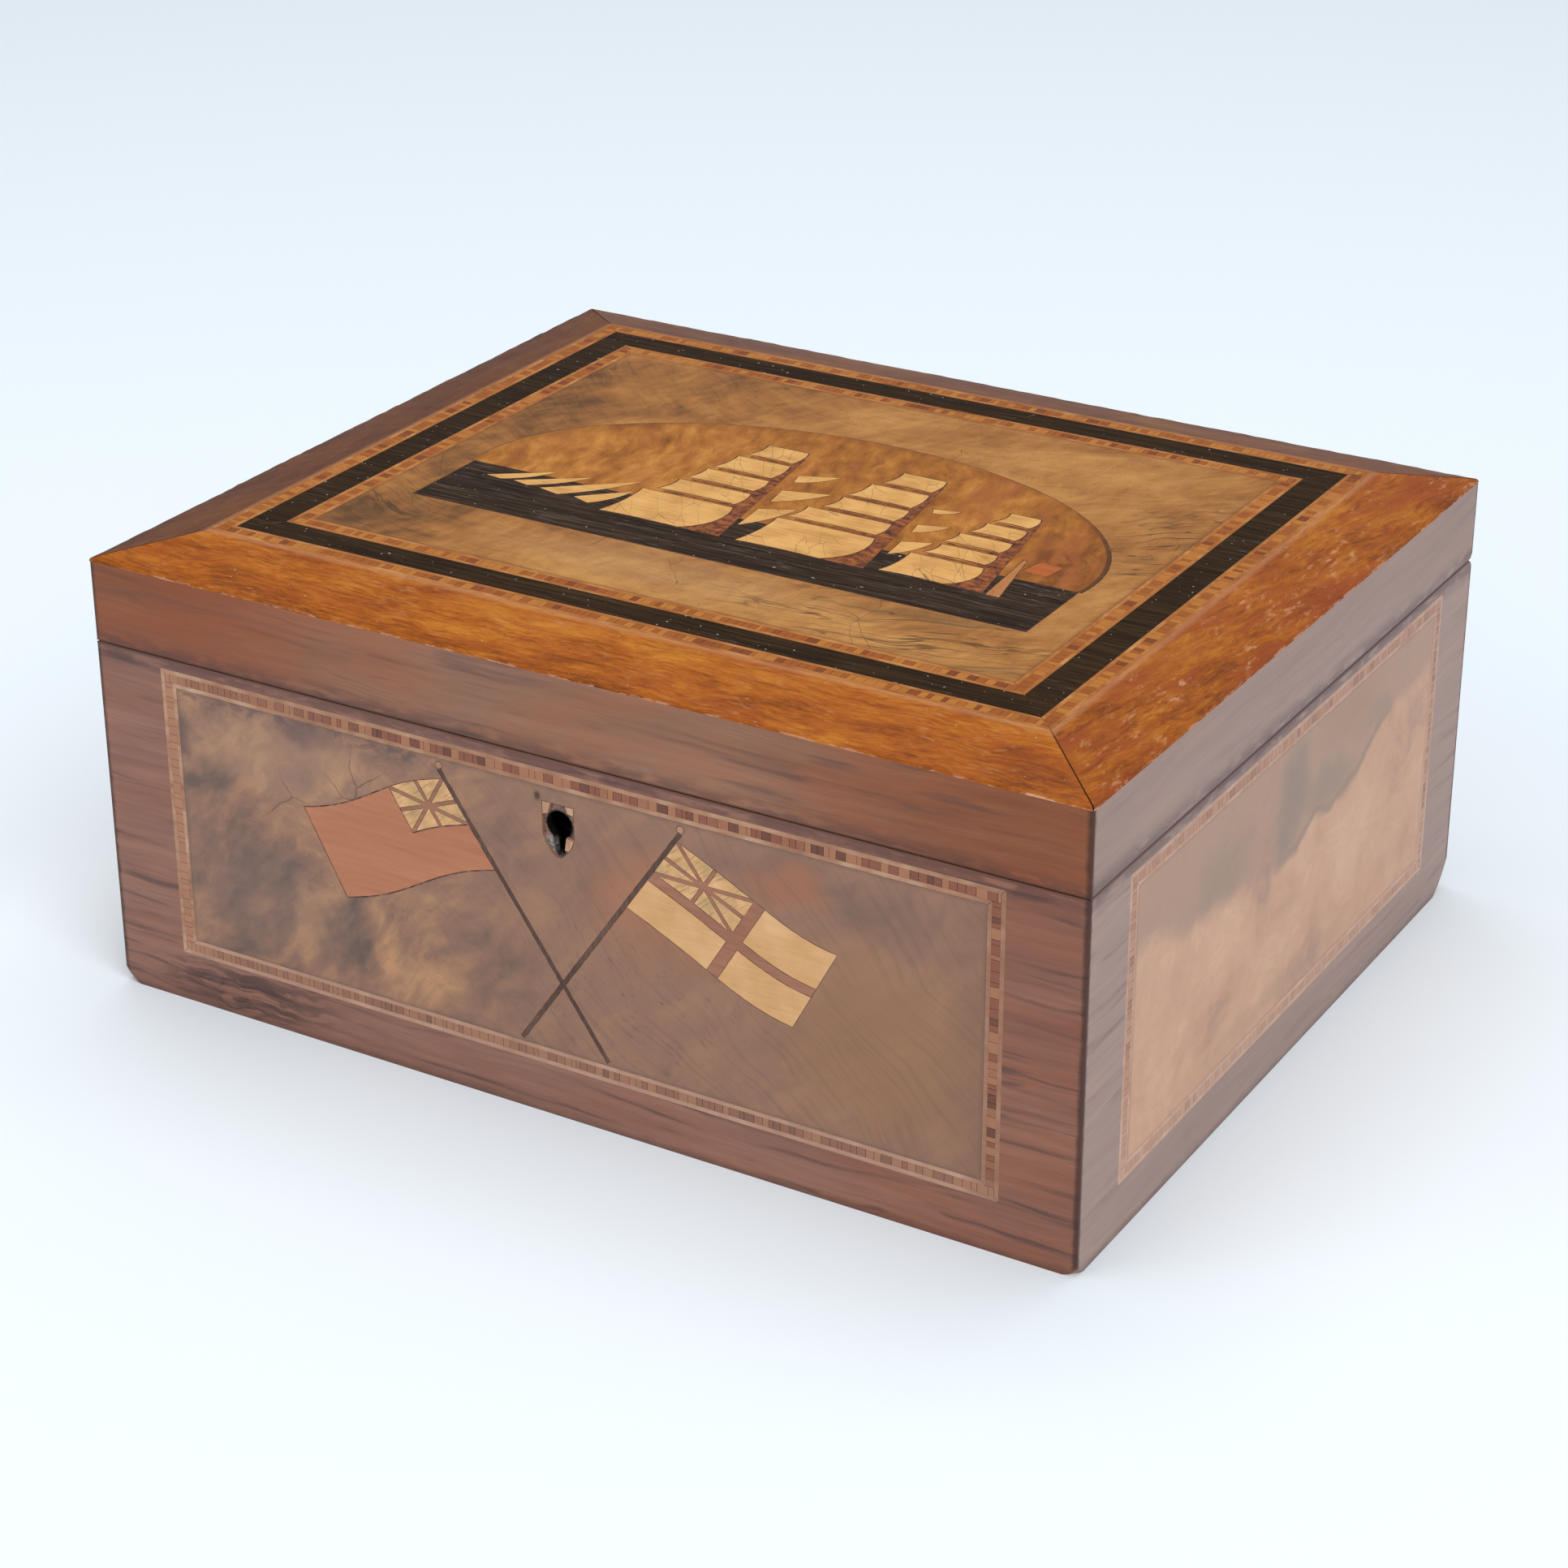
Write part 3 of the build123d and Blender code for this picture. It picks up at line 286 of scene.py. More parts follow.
class Finish(Tree):
    """A material being made: its colour so far, and patterns on Object coordinates in millimetres."""

    def __init__(self, name, wood=None, along="X", seed=0, face=FRONT):
        self.material = bpy.data.materials.new(name)
        super().__init__(self.material)
        coordinates = self.node("ShaderNodeTexCoord", out="Object")
        self.true_place = self.vector("SCALE", coordinates, scale=1 / MM)
        self.place = self.vector("ADD", self.true_place, (37.0 * seed, -53.0 * seed, 71.0 * seed))
        self.along = along
        self.face = face
        if wood:
            self.dark, self.middle, self.light = tones(wood)

    def vector(self, operation, *values, scale=None, out=0):
        """A Vector Math node on places."""
        sockets = dict(enumerate(values))
        if scale is not None:
            sockets["Scale"] = scale
        return self.node("ShaderNodeVectorMath", {"operation": operation}, sockets, out)

    def axis(self, name, place=None):
        """The X, Y or Z of a place, or else of the true place."""
        return self.node("ShaderNodeSeparateXYZ", None, {"Vector": place or self.true_place}, name)

    # Places, moved and measured

    def sized(self, place, size):
        """A place divided by one size, or by three."""
        if isinstance(size, (int, float)):
            return self.vector("SCALE", place, scale=1 / size)
        return self.vector("MULTIPLY", place, tuple(1 / s for s in size))

    def turned(self, place, degrees, axis=Z):
        """A place turned round the origin, so that a grain can run aslant."""
        sockets = {"Vector": place, "Axis": axis, "Angle": math.radians(degrees)}
        return self.node("ShaderNodeVectorRotate", {"rotation_type": "AXIS_ANGLE"}, sockets)

    def warped(self, place, *pushes):
        """A place pushed about by slow noise, which bends the grain; a push is a size and an amount."""
        for size, amount in pushes:
            push = self.vector("SUBTRACT", self.marks(place, size, 2.0, out=1), (0.5, 0.5, 0.5))
            place = self.vector("ADD", place, self.vector("SCALE", push, scale=amount))
        return place

    def away(self, place, centre, reach):
        """How far a place is from a centre, as a share of the reach along each axis."""
        return self.vector("LENGTH", self.sized(self.vector("SUBTRACT", place, centre), reach), out="Value")

    # Patterns

    def band(self, value, low, high):
        """0 at low and 1 at high, smooth between them and flat outside."""
        sockets = {"Value": value, "From Min": low, "From Max": high}
        return self.node("ShaderNodeMapRange", {"interpolation_type": "SMOOTHSTEP"}, sockets)

    def marks(self, place, size, detail=3.0, roughness=0.55, out=0):
        """Noise whose marks have one size, or one along each axis."""
        sockets = dict(Vector=self.sized(place, size), Scale=1.0, Detail=detail, Roughness=roughness)
        return self.node("ShaderNodeTexNoise", None, sockets, out)

    def fibres(self, place, along, across, detail=3.0, roughness=0.55):
        """Noise whose marks are long with the grain and short across it."""
        size = [along if axis == self.along else across for axis in "XYZ"]
        return self.marks(place, size, detail, roughness)

    def cracks(self, place, size, width, share):
        """Hairline cracks between cells of a size, kept in a share of the places."""
        cells = self.sized(place, size)
        sockets = {"Vector": cells, "Scale": 1.0}
        edge = self.node("ShaderNodeTexVoronoi", {"feature": "DISTANCE_TO_EDGE"}, sockets, "Distance")
        kept = self.band(self.marks(cells, 2.1), 0.62 - 0.3 * share, 0.70 - 0.3 * share)
        return self.band(edge, width, 0.2 * width) * kept

    def spot(self, place, centre, reach):
        """A soft patch: 1 at its centre and 0 past its reach."""
        return self.band(self.away(place, centre, reach), 1.0, 0.25)

    def patch(self, place, *flat):
        """A soft patch on the finish's own face: two numbers for its centre there and two for its reach."""
        through, level = self.face
        centre, reach = list(flat[:2]), list(flat[2:])
        centre.insert(through, level)
        reach.insert(through, PATCH_DEPTH)
        return self.spot(place, centre, reach)

    def patches(self, place, first, second):
        """Two soft patches that run into each other."""
        return self.maths("MAXIMUM", self.patch(place, *first), self.patch(place, *second))

    def shaded(self, tone, place, *patches):
        """A tone with soft patches added: each is a patch's four numbers and its strength."""
        for *flat, strength in patches:
            tone = tone + self.patch(place, *flat) * strength
        return tone

    def rim(self, node, reach):
        """1 at the edges of a rectangular node, falling to 0 this far inside them."""
        low, high = (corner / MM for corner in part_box(node))
        inside = [
            (high[i] - low[i]) / 2 - abs(self.axis("XYZ"[i]) - (low[i] + high[i]) / 2)
            for i in range(3)
            if i != self.face[0]
        ]
        return self.band(self.maths("MINIMUM", *inside), reach, 0.0)

    # Colours

    def ramp(self, value, *stops):
        """Colours at positions of a pattern, blended between them."""
        return self.node("ShaderNodeValToRGB", {"stops": stops}, {"Fac": value})

    def mix(self, share, below, above, blend="MIX"):
        """A share of the colour above laid over the colour below."""
        factor, colour_a, colour_b, colour_result = 0, 6, 7, 2
        sockets = {factor: share, colour_a: opaque(below), colour_b: opaque(above)}
        settings = {"data_type": "RGBA", "blend_type": blend}
        return self.node("ShaderNodeMix", settings, sockets, colour_result)

    def start(self, tone, low, middle, high):
        """Begin the colour, with the wood's three tones at three values of a pattern."""
        self.colour = self.ramp(tone, (low, self.dark), (middle, self.middle), (high, self.light))

    def stain(self, share, colour, blend="MIX"):
        """Lay a share of another colour over the colour so far."""
        self.colour = self.mix(share, self.colour, colour, blend)

    def finished(self, roughness, height=None, depth=0.03, coat=0.0, metallic=0.0, gloss=0.2):
        """Join everything to the shader and the output; the depth of the relief is in millimetres."""
        sockets = {
            "Base Color": self.colour,
            "Roughness": roughness,
            "Metallic": metallic,
            "Specular IOR Level": 0.5 if metallic else gloss,
            "Coat Weight": coat,
            "Coat Roughness": 0.22,
        }
        if height is not None:
            bump = {"Strength": 0.8, "Distance": depth * MM, "Height": height}
            sockets["Normal"] = self.node("ShaderNodeBump", None, bump)
        shader = self.node("ShaderNodeBsdfPrincipled", None, sockets)
        self.node("ShaderNodeOutputMaterial", None, {"Surface": shader})
        return self.material


def set_stops(ramp, stops):
    """The positions and colours of a colour ramp."""
    while len(ramp.elements) < len(stops):
        ramp.elements.new(0.5)
    for element, (position, colour) in zip(ramp.elements, stops):
        element.position = position
        element.color = opaque(colour)


def opaque(colour):
    """A colour or its hexadecimal digits with an alpha, or a link as it is."""
    if isinstance(colour, Socket):
        return colour
    return (*(linear(colour) if isinstance(colour, str) else colour), 1.0)


def tones(wood):
    """Dark, middle and light tone of a wood, as the user has set them."""
    colours = bpy.context.scene.ditty_colours
    return [tuple(getattr(colours, f"{wood}_{tone}")) for tone in ("dark", "middle", "light")]


# ---------------------------------------------------------------- woods


def straight_wood(name, wood, along="X", seed=0, streak=(55, 2.4), spread=0.2, lines=0.4):
    """Veneer with fine straight streaks along one axis, darker hair lines and open pores."""
    finish = Finish(name, wood, along, seed)
    place = finish.warped(finish.place, (70, 7))
    streaks = finish.fibres(place, *streak, 5.0, 0.62)
    broad = finish.fibres(place, 90, 16, 2.0)
    fibre = finish.fibres(place, 9, 0.35, 2.0)
    hair = finish.band(finish.fibres(place, 60, 0.8, 2.0), 0.60, 0.70)
    finish.start(streaks * 0.55 + broad * 0.45, 0.5 - spread, 0.5, 0.5 + spread)
    finish.stain(hair * lines, finish.dark)
    finish.stain(finish.band(fibre, 0.52, 0.78) * 0.22, finish.dark)
    roughness, relief = 0.40 + fibre * 0.16, fibre * 0.6 + streaks * 0.4
    return finish, (roughness, relief, 0.04)


def plain_wood(*figure, coat=0.1, gloss=0.2):
    """Straight-grained veneer with nothing on it."""
    finish, surface = straight_wood(*figure)
    return finish.finished(*surface, coat, gloss=gloss)


def border_wood(name, along, seed, cast, share, smoke, bloom, left, right):
    """Brown crossbanding with painted shade along the seam, dirty along the upright arrises and the worn
    foot.
    """
    finish, surface = straight_wood(name, "border", along, seed, (60, 2.0), 0.23, 0.40)
    x, y, z = (finish.axis(axis) for axis in "XYZ")
    ragged = finish.marks(finish.place, (9, 9, 3))
    finish.stain(share, cast)
    slow = finish.band(finish.marks(finish.place, (44, 44, 12)), 0.36, 0.66)
    finish.stain(slow * bloom, "a4603a")
    # On the lid's front and back, the darker, warmer ends leave a paler painted sheen in the middle
    ends = finish.band(x, -30.0, -125.0) * left + finish.band(x, 40.0, 125.0) * right
    finish.stain(ends, "e9b37c", "MULTIPLY")
    smoky = finish.band(finish.fibres(finish.warped(finish.place, (50, 8)), 80, 2.6, 2.0, 0.5), 0.54, 0.76)
    finish.stain(smoky * smoke, "4a3836")
    damp = finish.patch(finish.warped(finish.true_place, (14, 14)), -106, 8, 40, 12)
    wavy = finish.band(finish.fibres(finish.warped(finish.place, (16, 7)), 30, 1.8), 0.42, 0.56)
    finish.stain(damp * wavy * 0.7, "3a2a2a")
    # Painted shadow: a soft dark band along the seam, and darker lips where the groove between base and lid
    # falls into shade
    seam_shadow = finish.band(abs(z - base_top / MM), 7.0, 0.0) * finish.band(ragged, 0.28, 0.58) * 0.6
    groove_shade = finish.band(abs(z - (base_top + lid_bottom) / 2 / MM), 1.3, 0.5) * 0.6
    finish.stain(finish.maths("MAXIMUM", seam_shadow, groove_shade), "40282a")
    reach = (half_length + half_depth) / MM
    corner = finish.band(abs(x) + abs(y) + ragged * 1.5, reach - 1.2, reach + 0.2)
    foot = finish.band(z + ragged * 3.0 - corner * 3.0, 4.5, 0.8)
    finish.stain(finish.maths("MAXIMUM", corner * 0.75, foot * 0.5), "2c1c17")
    return finish.finished(*surface, 0.1)


def canted_wood(name, along, seed, scuffs, blush, shade, painted_highlight, turn):
    """Orange-brown margin with dark streaks, dark mitres, pale dashes and a chipped arris."""
    finish = Finish(name, "canted", along, seed)
    x, y, z = (finish.axis(axis) for axis in "XYZ")
    foot, top = margin_foot / MM, lid_top / MM
    place = finish.warped(finish.turned(finish.place, turn), (22, 6))
    clouds = finish.fibres(place, 34, 9)
    grain = finish.fibres(place, 9, 1.3, 5.0, 0.68)
    fibre = finish.fibres(place, 3.0, 0.45, 3.0, 0.6)
    # Painted light: painted shade darker towards the foot and towards the left, and a painted highlight along
    # the upper edge
    lower = finish.band(z, foot + 3.0, foot)
    upper = finish.band(z, foot + 3.4, foot + 5.0)
    leftward = finish.band(x, -20.0, -110.0)
    tone = clouds * 0.42 + grain * 0.38 + fibre * 0.2 - lower * 0.035 + upper * painted_highlight - leftward * 0.02
    finish.start(tone, 0.35, 0.49, 0.65)
    finish.stain(finish.band(finish.fibres(place, 40, 7, 2.0), 0.38, 0.66) * blush, "92441c")
    bold = finish.band(finish.fibres(place, 26, 1.5, 4.0, 0.6), 0.57, 0.68)
    finish.stain(bold * 0.4, finish.dark)
    finish.stain(shade, "3c2418")
    dashes = finish.band(finish.fibres(finish.place, 5.0, 1.5, 4.0, 0.65), 0.52, 0.72)
    scuffed = finish.band(finish.marks(finish.place, 16, 2.0), 0.44, 0.60)
    finish.stain(dashes * scuffed * scuffs, "c48e62")
    nicks = finish.band(finish.marks(finish.place, 0.8, 1.0), 0.775, 0.81)
    finish.stain(nicks * 0.6, "e0c8a8")
    from_mitre = (half_length / MM - abs(x)) - (half_depth / MM - abs(y))
    finish.stain(finish.band(abs(from_mitre), 0.45, 0.12) * 0.8, "2c170c")
    finish.stain(finish.band(z, top - 0.5, top - 0.1) * 0.3, "c0906c")
    chips = finish.fibres(finish.place, 4.5, 1.2, 4.0, 0.6)
    near = finish.spot(finish.true_place, (half_length / MM - 14, -half_depth / MM, foot), (24, 12, 12))
    pale = finish.band(chips, 0.50, 0.60) * 0.5 + near * finish.band(chips, 0.44, 0.52) * 0.5
    finish.stain(finish.band(z, foot + 0.7, foot) * pale, "d0a084")
    coat, gloss = 0.04 - shade * 0.05, 0.07 - shade * 0.06
    return finish.finished(0.34 + fibre * 0.16, fibre * 0.6 + grain * 0.4, 0.04, coat, gloss=gloss)


def front_burr():
    """The front's walnut: slanting clouds and flames to the left, a fine fan of pores to the right."""
    finish = Finish("front_burr_walnut", "front_burr", "X", 1)
    x, z = finish.axis("X"), finish.axis("Z")
    place = finish.turned(finish.warped(finish.place, (44, 20), (13, 6)), 42, Y)
    clouds = finish.marks(place, (34, 17, 17), 4.0, 0.5)
    flames = finish.marks(place, (24, 7.5, 7.5), 3.0, 0.5)
    curl = finish.marks(place, (7, 3.4, 3.4), 4.0, 0.6)
    left = finish.band(x + (clouds - 0.5) * 70.0, 10.0, -58.0)
    ragged = finish.warped(finish.true_place, (15, 18))
    tone = (clouds * 0.40 + flames * 0.38 + curl * 0.22 - 0.5) * (left * 0.65 + 0.3) + 0.5
    tone = finish.shaded(
        tone,
        ragged,
        (-100, 82, 22, 14, 0.09),
        (-121, 84, 8, 7, -0.12),
        (-72, 86, 18, 9, 0.07),
        (-100, 52, 26, 15, -0.11),
        (-110, 32, 14, 16, -0.06),
        (-68, 38, 13, 16, -0.05),
        (-47, 40, 12, 16, -0.04),
        (-84, 34, 7, 16, 0.10),
        (-58, 38, 6, 16, 0.09),
        (-38, 28, 14, 12, 0.07),
        (66, 88, 34, 9, -0.04),
        (98, 84, 22, 12, -0.04),
    )
    finish.start(tone, 0.36, 0.5, 0.64)
    finish.stain(finish.patches(ragged, (32, 70, 34, 22), (66, 86, 18, 9)) * 0.55, "a86a4c")
    finish.stain(finish.patch(ragged, 94, 50, 44, 38) * 0.6, "966c4a")
    finish.stain(finish.band(x, 108.0, 123.0) * 0.35, "7c5846")
    finish.stain(finish.patch(ragged, -98, 40, 40, 24) * 0.4, "6c5c58")
    finish.stain(finish.patch(ragged, -88, 84, 46, 18) * 0.45, "a07e68")
    smudges = finish.patches(ragged, (-80, 93, 12, 6), (-122, 83, 5, 8))
    drifted = finish.warped(finish.true_place, (9, 8))
    blotches = finish.band(finish.marks(drifted, (5, 5, 3), 4.0, 0.6), 0.48, 0.62)
    upper = finish.band(z, 89.5, 96.5) * finish.band(x, -24.0, -44.0)
    finish.stain(finish.maths("MAXIMUM", smudges * 0.5, blotches * upper * 0.6), "58444a")
    slanted = finish.turned(finish.warped(finish.place, (60, 30), (14, 4)), -46, Y)
    grain = finish.marks(slanted, (30, 30, 1.6), 3.0, 0.6)
    pores = finish.band(finish.marks(slanted, (3.4, 3.4, 0.36), 1.0), 0.66, 0.74)
    pored = finish.patch(finish.true_place, 22, 40, 60, 34) * 0.5 + 0.06
    finish.stain(finish.band(grain, 0.46, 0.70) * (0.26 - left * 0.20), finish.dark)
    finish.stain(pores * pored, "4f372e")
    veins = finish.band(abs(curl - 0.48), 0.010, 0.0) * finish.band(clouds, 0.46, 0.56) * left
    finish.stain(veins * 0.35, "4f372e")
    splits = finish.cracks(finish.warped(finish.turned(finish.place, 20, Y), (12, 6)), 17, 0.022, 0.9)
    cracked = finish.patches(finish.true_place, (-63, 81, 15, 15), (-90, 72, 13, 12))
    finish.stain(splits * cracked * 0.5, "4f372e")
    finish.stain(finish.patch(finish.true_place, -6.2, 93.6, 1.5, 1.9) * 0.8, "3a2622")
    finish.stain(finish.rim("front_field_veneer", 1.5) * 0.4, finish.dark)
    return finish.finished(0.40 + curl * 0.12, curl * 0.5 + grain * 0.5, 0.04, 0.1)


def end_burr(side, seed):
    """An end's walnut: smooth and peach-coloured, with a grey patch that hangs from its top edge."""
    node = f"{side}_field_veneer"
    mirror = 1 if side == "right" else -1
    finish = Finish(f"{side}_burr_walnut", "end_burr", "Y", seed, (0, mirror * half_length / MM))
    middle = sum(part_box(node), Vector()).z / 2 / MM
    place = finish.warped(finish.place, (40, 22), (12, 6))
    clouds = finish.marks(place, 30, 4.0, 0.5)
    curl = finish.marks(place, (6, 6, 4), 4.0, 0.6)
    finish.start(clouds * 0.7 + curl * 0.3, 0.24, 0.44, 0.72)
    bent = finish.warped(finish.true_place, (22, 10), (7, 4))
    across = finish.axis("Y", bent) * mirror
    rise = finish.band(across, 36.0, 70.0) * 13.0 + finish.band(across, -60.0, -88.0) * 9.0
    dip = finish.band(abs(across + 4.0), 18.0, 4.0) * 5.0
    above = finish.axis("Z", bent) - middle - 9.0 - rise + dip
    hanging = finish.band(above, -3.0, 5.0)
    finish.stain(hanging * (clouds * 0.8 + 0.2), "987c6c")
    drifted = finish.warped(finish.true_place, (14, 16))
    for y, z, reach_y, reach_z, strength in (
        (-44, 20, 24, 14, 0.35),
        (-1, 24, 15, 19, 0.65),
        (-4, 9, 11, 10, 0.5),
        (24, 16, 24, 9, 0.45),
        (56, 24, 16, 7, 0.35),
    ):
        lobe = finish.patch(drifted, y * mirror, middle + z, reach_y, reach_z)
        finish.stain(lobe * hanging * strength, "86766a")
    line = finish.band(abs(above - 1.0), 3.0, 0.1) * finish.band(abs(across - 28.0), 44.0, 26.0)
    finish.stain(line * 0.5, "746a60")
    finish.stain(finish.patch(drifted, 36 * mirror, middle + 34, 34, 14) * 0.5, "a07c64")
    smear = finish.patch(finish.warped(finish.true_place, (10, 12)), 0, middle - 33, 60, 7)
    finish.stain(smear * 0.35, "a08672")
    veins = finish.band(abs(curl - 0.5), 0.010, 0.0) * finish.band(clouds, 0.48, 0.60)
    finish.stain(veins * 0.3, "8a6450")
    finish.stain(finish.rim(node, 1.5) * 0.3, finish.dark)
    return finish.finished(0.42 + curl * 0.12, curl, 0.03, 0.1)


def lid_field_wood():
    """The lid's field: tan walnut whose grain hangs in wide arcs, darkest round its edges."""
    finish = Finish("lid_field_walnut", "lid_field", "X", 3, LID)
    place = finish.warped(finish.true_place, (60, 22), (15, 5))
    clouds = finish.marks(place, (30, 22, 22), 4.0, 0.5)
    mottle = finish.marks(finish.turned(place, 24), (3.4, 9, 3.4), 3.0, 0.5)
    radius = finish.away(place, (4, 130, 0), (1.25, 1, math.inf))
    swing = {"X": radius, "Y": finish.axis("X", place) / 44.0, "Z": finish.axis("Y", place) / 30.0}
    arcs = finish.node("ShaderNodeCombineXYZ", None, swing)
    waves = finish.marks(arcs, (7.0, 1, 1), 3.0, 0.5)
    lines = finish.marks(arcs, (1.3, 1, 1), 3.0, 0.6)
    ragged = finish.warped(finish.true_place, (14, 18))
    tone = finish.shaded(
        clouds * 0.40 + mottle * 0.24 + lines * 0.18 + waves * 0.18,
        ragged,
        (-90, -66, 32, 24, -0.15),
        (-104, 10, 26, 74, -0.085),
        (-84, 60, 60, 48, -0.06),
        (40, 66, 90, 26, 0.03),
        (104, -40, 14, 34, 0.04),
        (24, -74, 100, 18, 0.10),
        (0, -72, 9, 13, -0.06),
        (100, -14, 16, 30, 0.05),
    )
    finish.start(tone, 0.31, 0.475, 0.64)
    front_right = finish.patches(finish.true_place, (66, -64, 70, 26), (106, 20, 30, 50))
    corner = finish.patch(finish.true_place, -96, -62, 24, 26)
    shown = finish.maths("MAXIMUM", front_right, corner) * 0.95 + 0.05
    finish.stain(finish.patch(ragged, -6, -62, 70, 16) * 0.25, "b89064")
    finish.stain(finish.band(waves, 0.53, 0.66) * shown * 0.55, "5c4024")
    finish.stain(finish.band(lines, 0.56, 0.63) * (shown * 0.5 + 0.08), "5c4024")
    drawn = finish.band(abs(finish.marks(arcs, (5.0, 1, 1), 2.0) - 0.5), 0.022, 0.004)
    finish.stain(drawn * (shown * 0.75 + 0.05), "4e3418")
    finish.stain(finish.cracks(finish.turned(place, 64), (26, 9, 9), 0.012, 0.2) * 0.6, "3a2417")
    fibre = finish.marks(place, (0.5, 3.0, 0.5), 3.0, 0.6)
    finish.stain(finish.band(fibre, 0.50, 0.76) * 0.25, finish.dark)
    finish.stain(finish.rim("lid_field_veneer", 1.5) * 0.4, finish.dark)
    return finish.finished(0.38 + fibre * 0.18, fibre * 0.5 + mottle * 0.5, 0.04, 0.04, gloss=0.07)


def sky_wood():
    """The sky: ochre satinwood with a broken mottle, in an oval whose joint gapes at the right."""
    finish = Finish("sky_satinwood", "sky", "Y", 5, LID)
    place = finish.warped(finish.turned(finish.place, -14), (26, 12))
    mottle = finish.fibres(place, 12, 4.2, 5.0, 0.60)
    broad = finish.fibres(place, 46, 24, 2.0)
    ragged = finish.warped(finish.true_place, (9, 9))
    tone = mottle * 0.66 + broad * 0.34 - finish.patch(ragged, 80, -4, 32, 34) * 0.08
    finish.start(tone, 0.33, 0.50, 0.67)
    red = finish.band(finish.fibres(place, 30, 9, 3.0, 0.6), 0.46, 0.62)
    rightward = finish.band(finish.axis("X", ragged), 10.0, 70.0)
    finish.stain(red * (rightward * 0.4 + 0.25), "9a5428")
    fibre = finish.fibres(place, 5, 0.45, 3.0, 0.6)
    finish.stain(finish.band(fibre, 0.50, 0.76) * 0.25, finish.dark)
    low, high = (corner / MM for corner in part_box("lid_sky_veneer"))
    centre = (0, low.y + SKY_LIFT, high.z)
    reach = (high.x, high.y - centre[1], 100)
    ring = finish.band(finish.away(ragged, centre, reach), 0.94, 1.0)
    finish.stain(ring * 0.35, finish.dark)
    joint = finish.band(finish.away(finish.true_place, centre, reach), 0.982, 0.990)
    gaping = finish.band(finish.axis("X", ragged), 64.0, 90.0)
    finish.stain(joint * gaping * 0.75, "3a2412")
    return finish.finished(0.40 + fibre * 0.16, fibre * 0.5 + mottle * 0.5, 0.04, 0.04, gloss=0.07)


def ebony_wood(name, wood, seed, scratches):
    """Near-black wood with faint streaks, grey scratches along it and a few pale chips."""
    finish = Finish(name, wood, "X", seed)
    place = finish.warped(finish.place, (50, 3))
    streaks = finish.fibres(place, 34, 1.1, 5.0, 0.66)
    finish.start(streaks, 0.36, 0.52, 0.70)
    lines = finish.band(finish.fibres(place, 14, 0.28, 2.0), 0.62, 0.72)
    patchy = finish.band(finish.marks(place, 13, 2.0), 0.42, 0.62)
    finish.stain(lines * patchy * scratches, "8f8580")
    chips = finish.band(finish.marks(finish.place, 1.3, 1.0), 0.755, 0.78)
    finish.stain(chips * 0.8, "b9aea6")
    return finish.finished(0.36 + streaks * 0.2, streaks, 0.04, gloss=0.02)


def boxwood(name, wood, seed, cracked=0.0, along="X", streak=(16, 1.0)):
    """Pale close-grained wood with long fine age cracks aslant."""
    finish = Finish(name, wood, along, seed, LID)
    place = finish.warped(finish.place, (24, 3))
    streaks = finish.fibres(place, *streak, 4.0, 0.6)
    clouds = finish.marks(place, 9, 2.0)
    finish.start(streaks * 0.45 + clouds * 0.55, 0.30, 0.5, 0.70)
    aslant = finish.turned(finish.warped(finish.place, (9, 3)), -32)
    splits = finish.cracks(aslant, (5, 24, 24), 0.012, 0.6)
    finish.stain(splits * cracked, "5a3318")
    shift_banding(finish, wood)
    if wood == "sail":
        spanker = finish.patch(finish.true_place, 75, -20, 7, 22) * 2.5
        finish.stain(finish.maths("MINIMUM", spanker, 1.0) * 0.8, "a05a24")
    gloss = 0.08 if wood == "lid_string" else 0.2
    return finish.finished(0.40 + streaks * 0.12, streaks * 0.5 - splits, 0.04, gloss / 2, gloss=gloss)


def spar_wood():
    """Red-brown wood between the sails, scorched nearly black in places."""
    finish = Finish("spar_redwood", "spar", "Y", 8)
    place = finish.warped(finish.place, (12, 5))
    scorch = finish.marks(place, (3.4, 2.0, 2.0), 4.0, 0.6)
    fibre = finish.fibres(place, 6, 0.5, 3.0, 0.6)
    finish.start(scorch * 0.7 + fibre * 0.3, 0.38, 0.49, 0.62)
    return finish.finished(0.40 + fibre * 0.12, fibre, 0.04, gloss=0.1)


def shift_banding(finish, wood):
    """Lay the soft colour shifts of a banding over its wood."""
    for axis, start, full, share, stain in BANDING_SHIFTS.get(wood, ()):
        finish.stain(finish.band(finish.axis(axis), start, full) * share, stain)


def block_wood(wood):
    """The banding's blocks: each takes a tone of its own from its mesh, across a fine grain."""
    finish = Finish(f"banding_{wood}", wood, "X", 9)
    tone = finish.node("ShaderNodeAttribute", {"attribute_name": "tone"}, None, "Fac")
    fibre = finish.marks(finish.place, 0.5, 2.0)
    stops = (0.06, finish.dark), (0.16, finish.middle), (0.50, finish.middle), (0.70, finish.light)
    finish.colour = finish.ramp(tone + (fibre - 0.5) * 0.35, *stops)
    shift_banding(finish, wood)
    gloss = 0.07 if wood == "lid_block" else 0.12
    return finish.finished(0.36 + fibre * 0.14, fibre, 0.03, gloss / 2, gloss=gloss)


def glue_line(name, glue):
    """The line of glue and grime round each piece of marquetry."""
    finish = Finish(name, glue, "X", 4)
    grime = finish.marks(finish.place, 2.2)
    finish.start(grime, 0.36, 0.5, 0.66)
    return finish.finished(0.55 + grime * 0.2, grime, 0.03)


def canton_wood():
    """The ensigns' cantons: cream wood with thin inked hatching."""
    finish = Finish("canton_cream", "canton", "X", 6)
    place = finish.warped(finish.place, (10, 1.5))
    hatch = finish.marks(finish.turned(place, 38, Y), (9, 0.55, 0.55), 2.0)
    clouds = finish.marks(place, 5, 2.0)
    finish.start(clouds, 0.36, 0.52, 0.66)
    finish.stain(finish.band(hatch, 0.53, 0.64) * 0.45, "8a6440")
    return finish.finished(0.38 + clouds * 0.1, hatch, 0.03, 0.3)


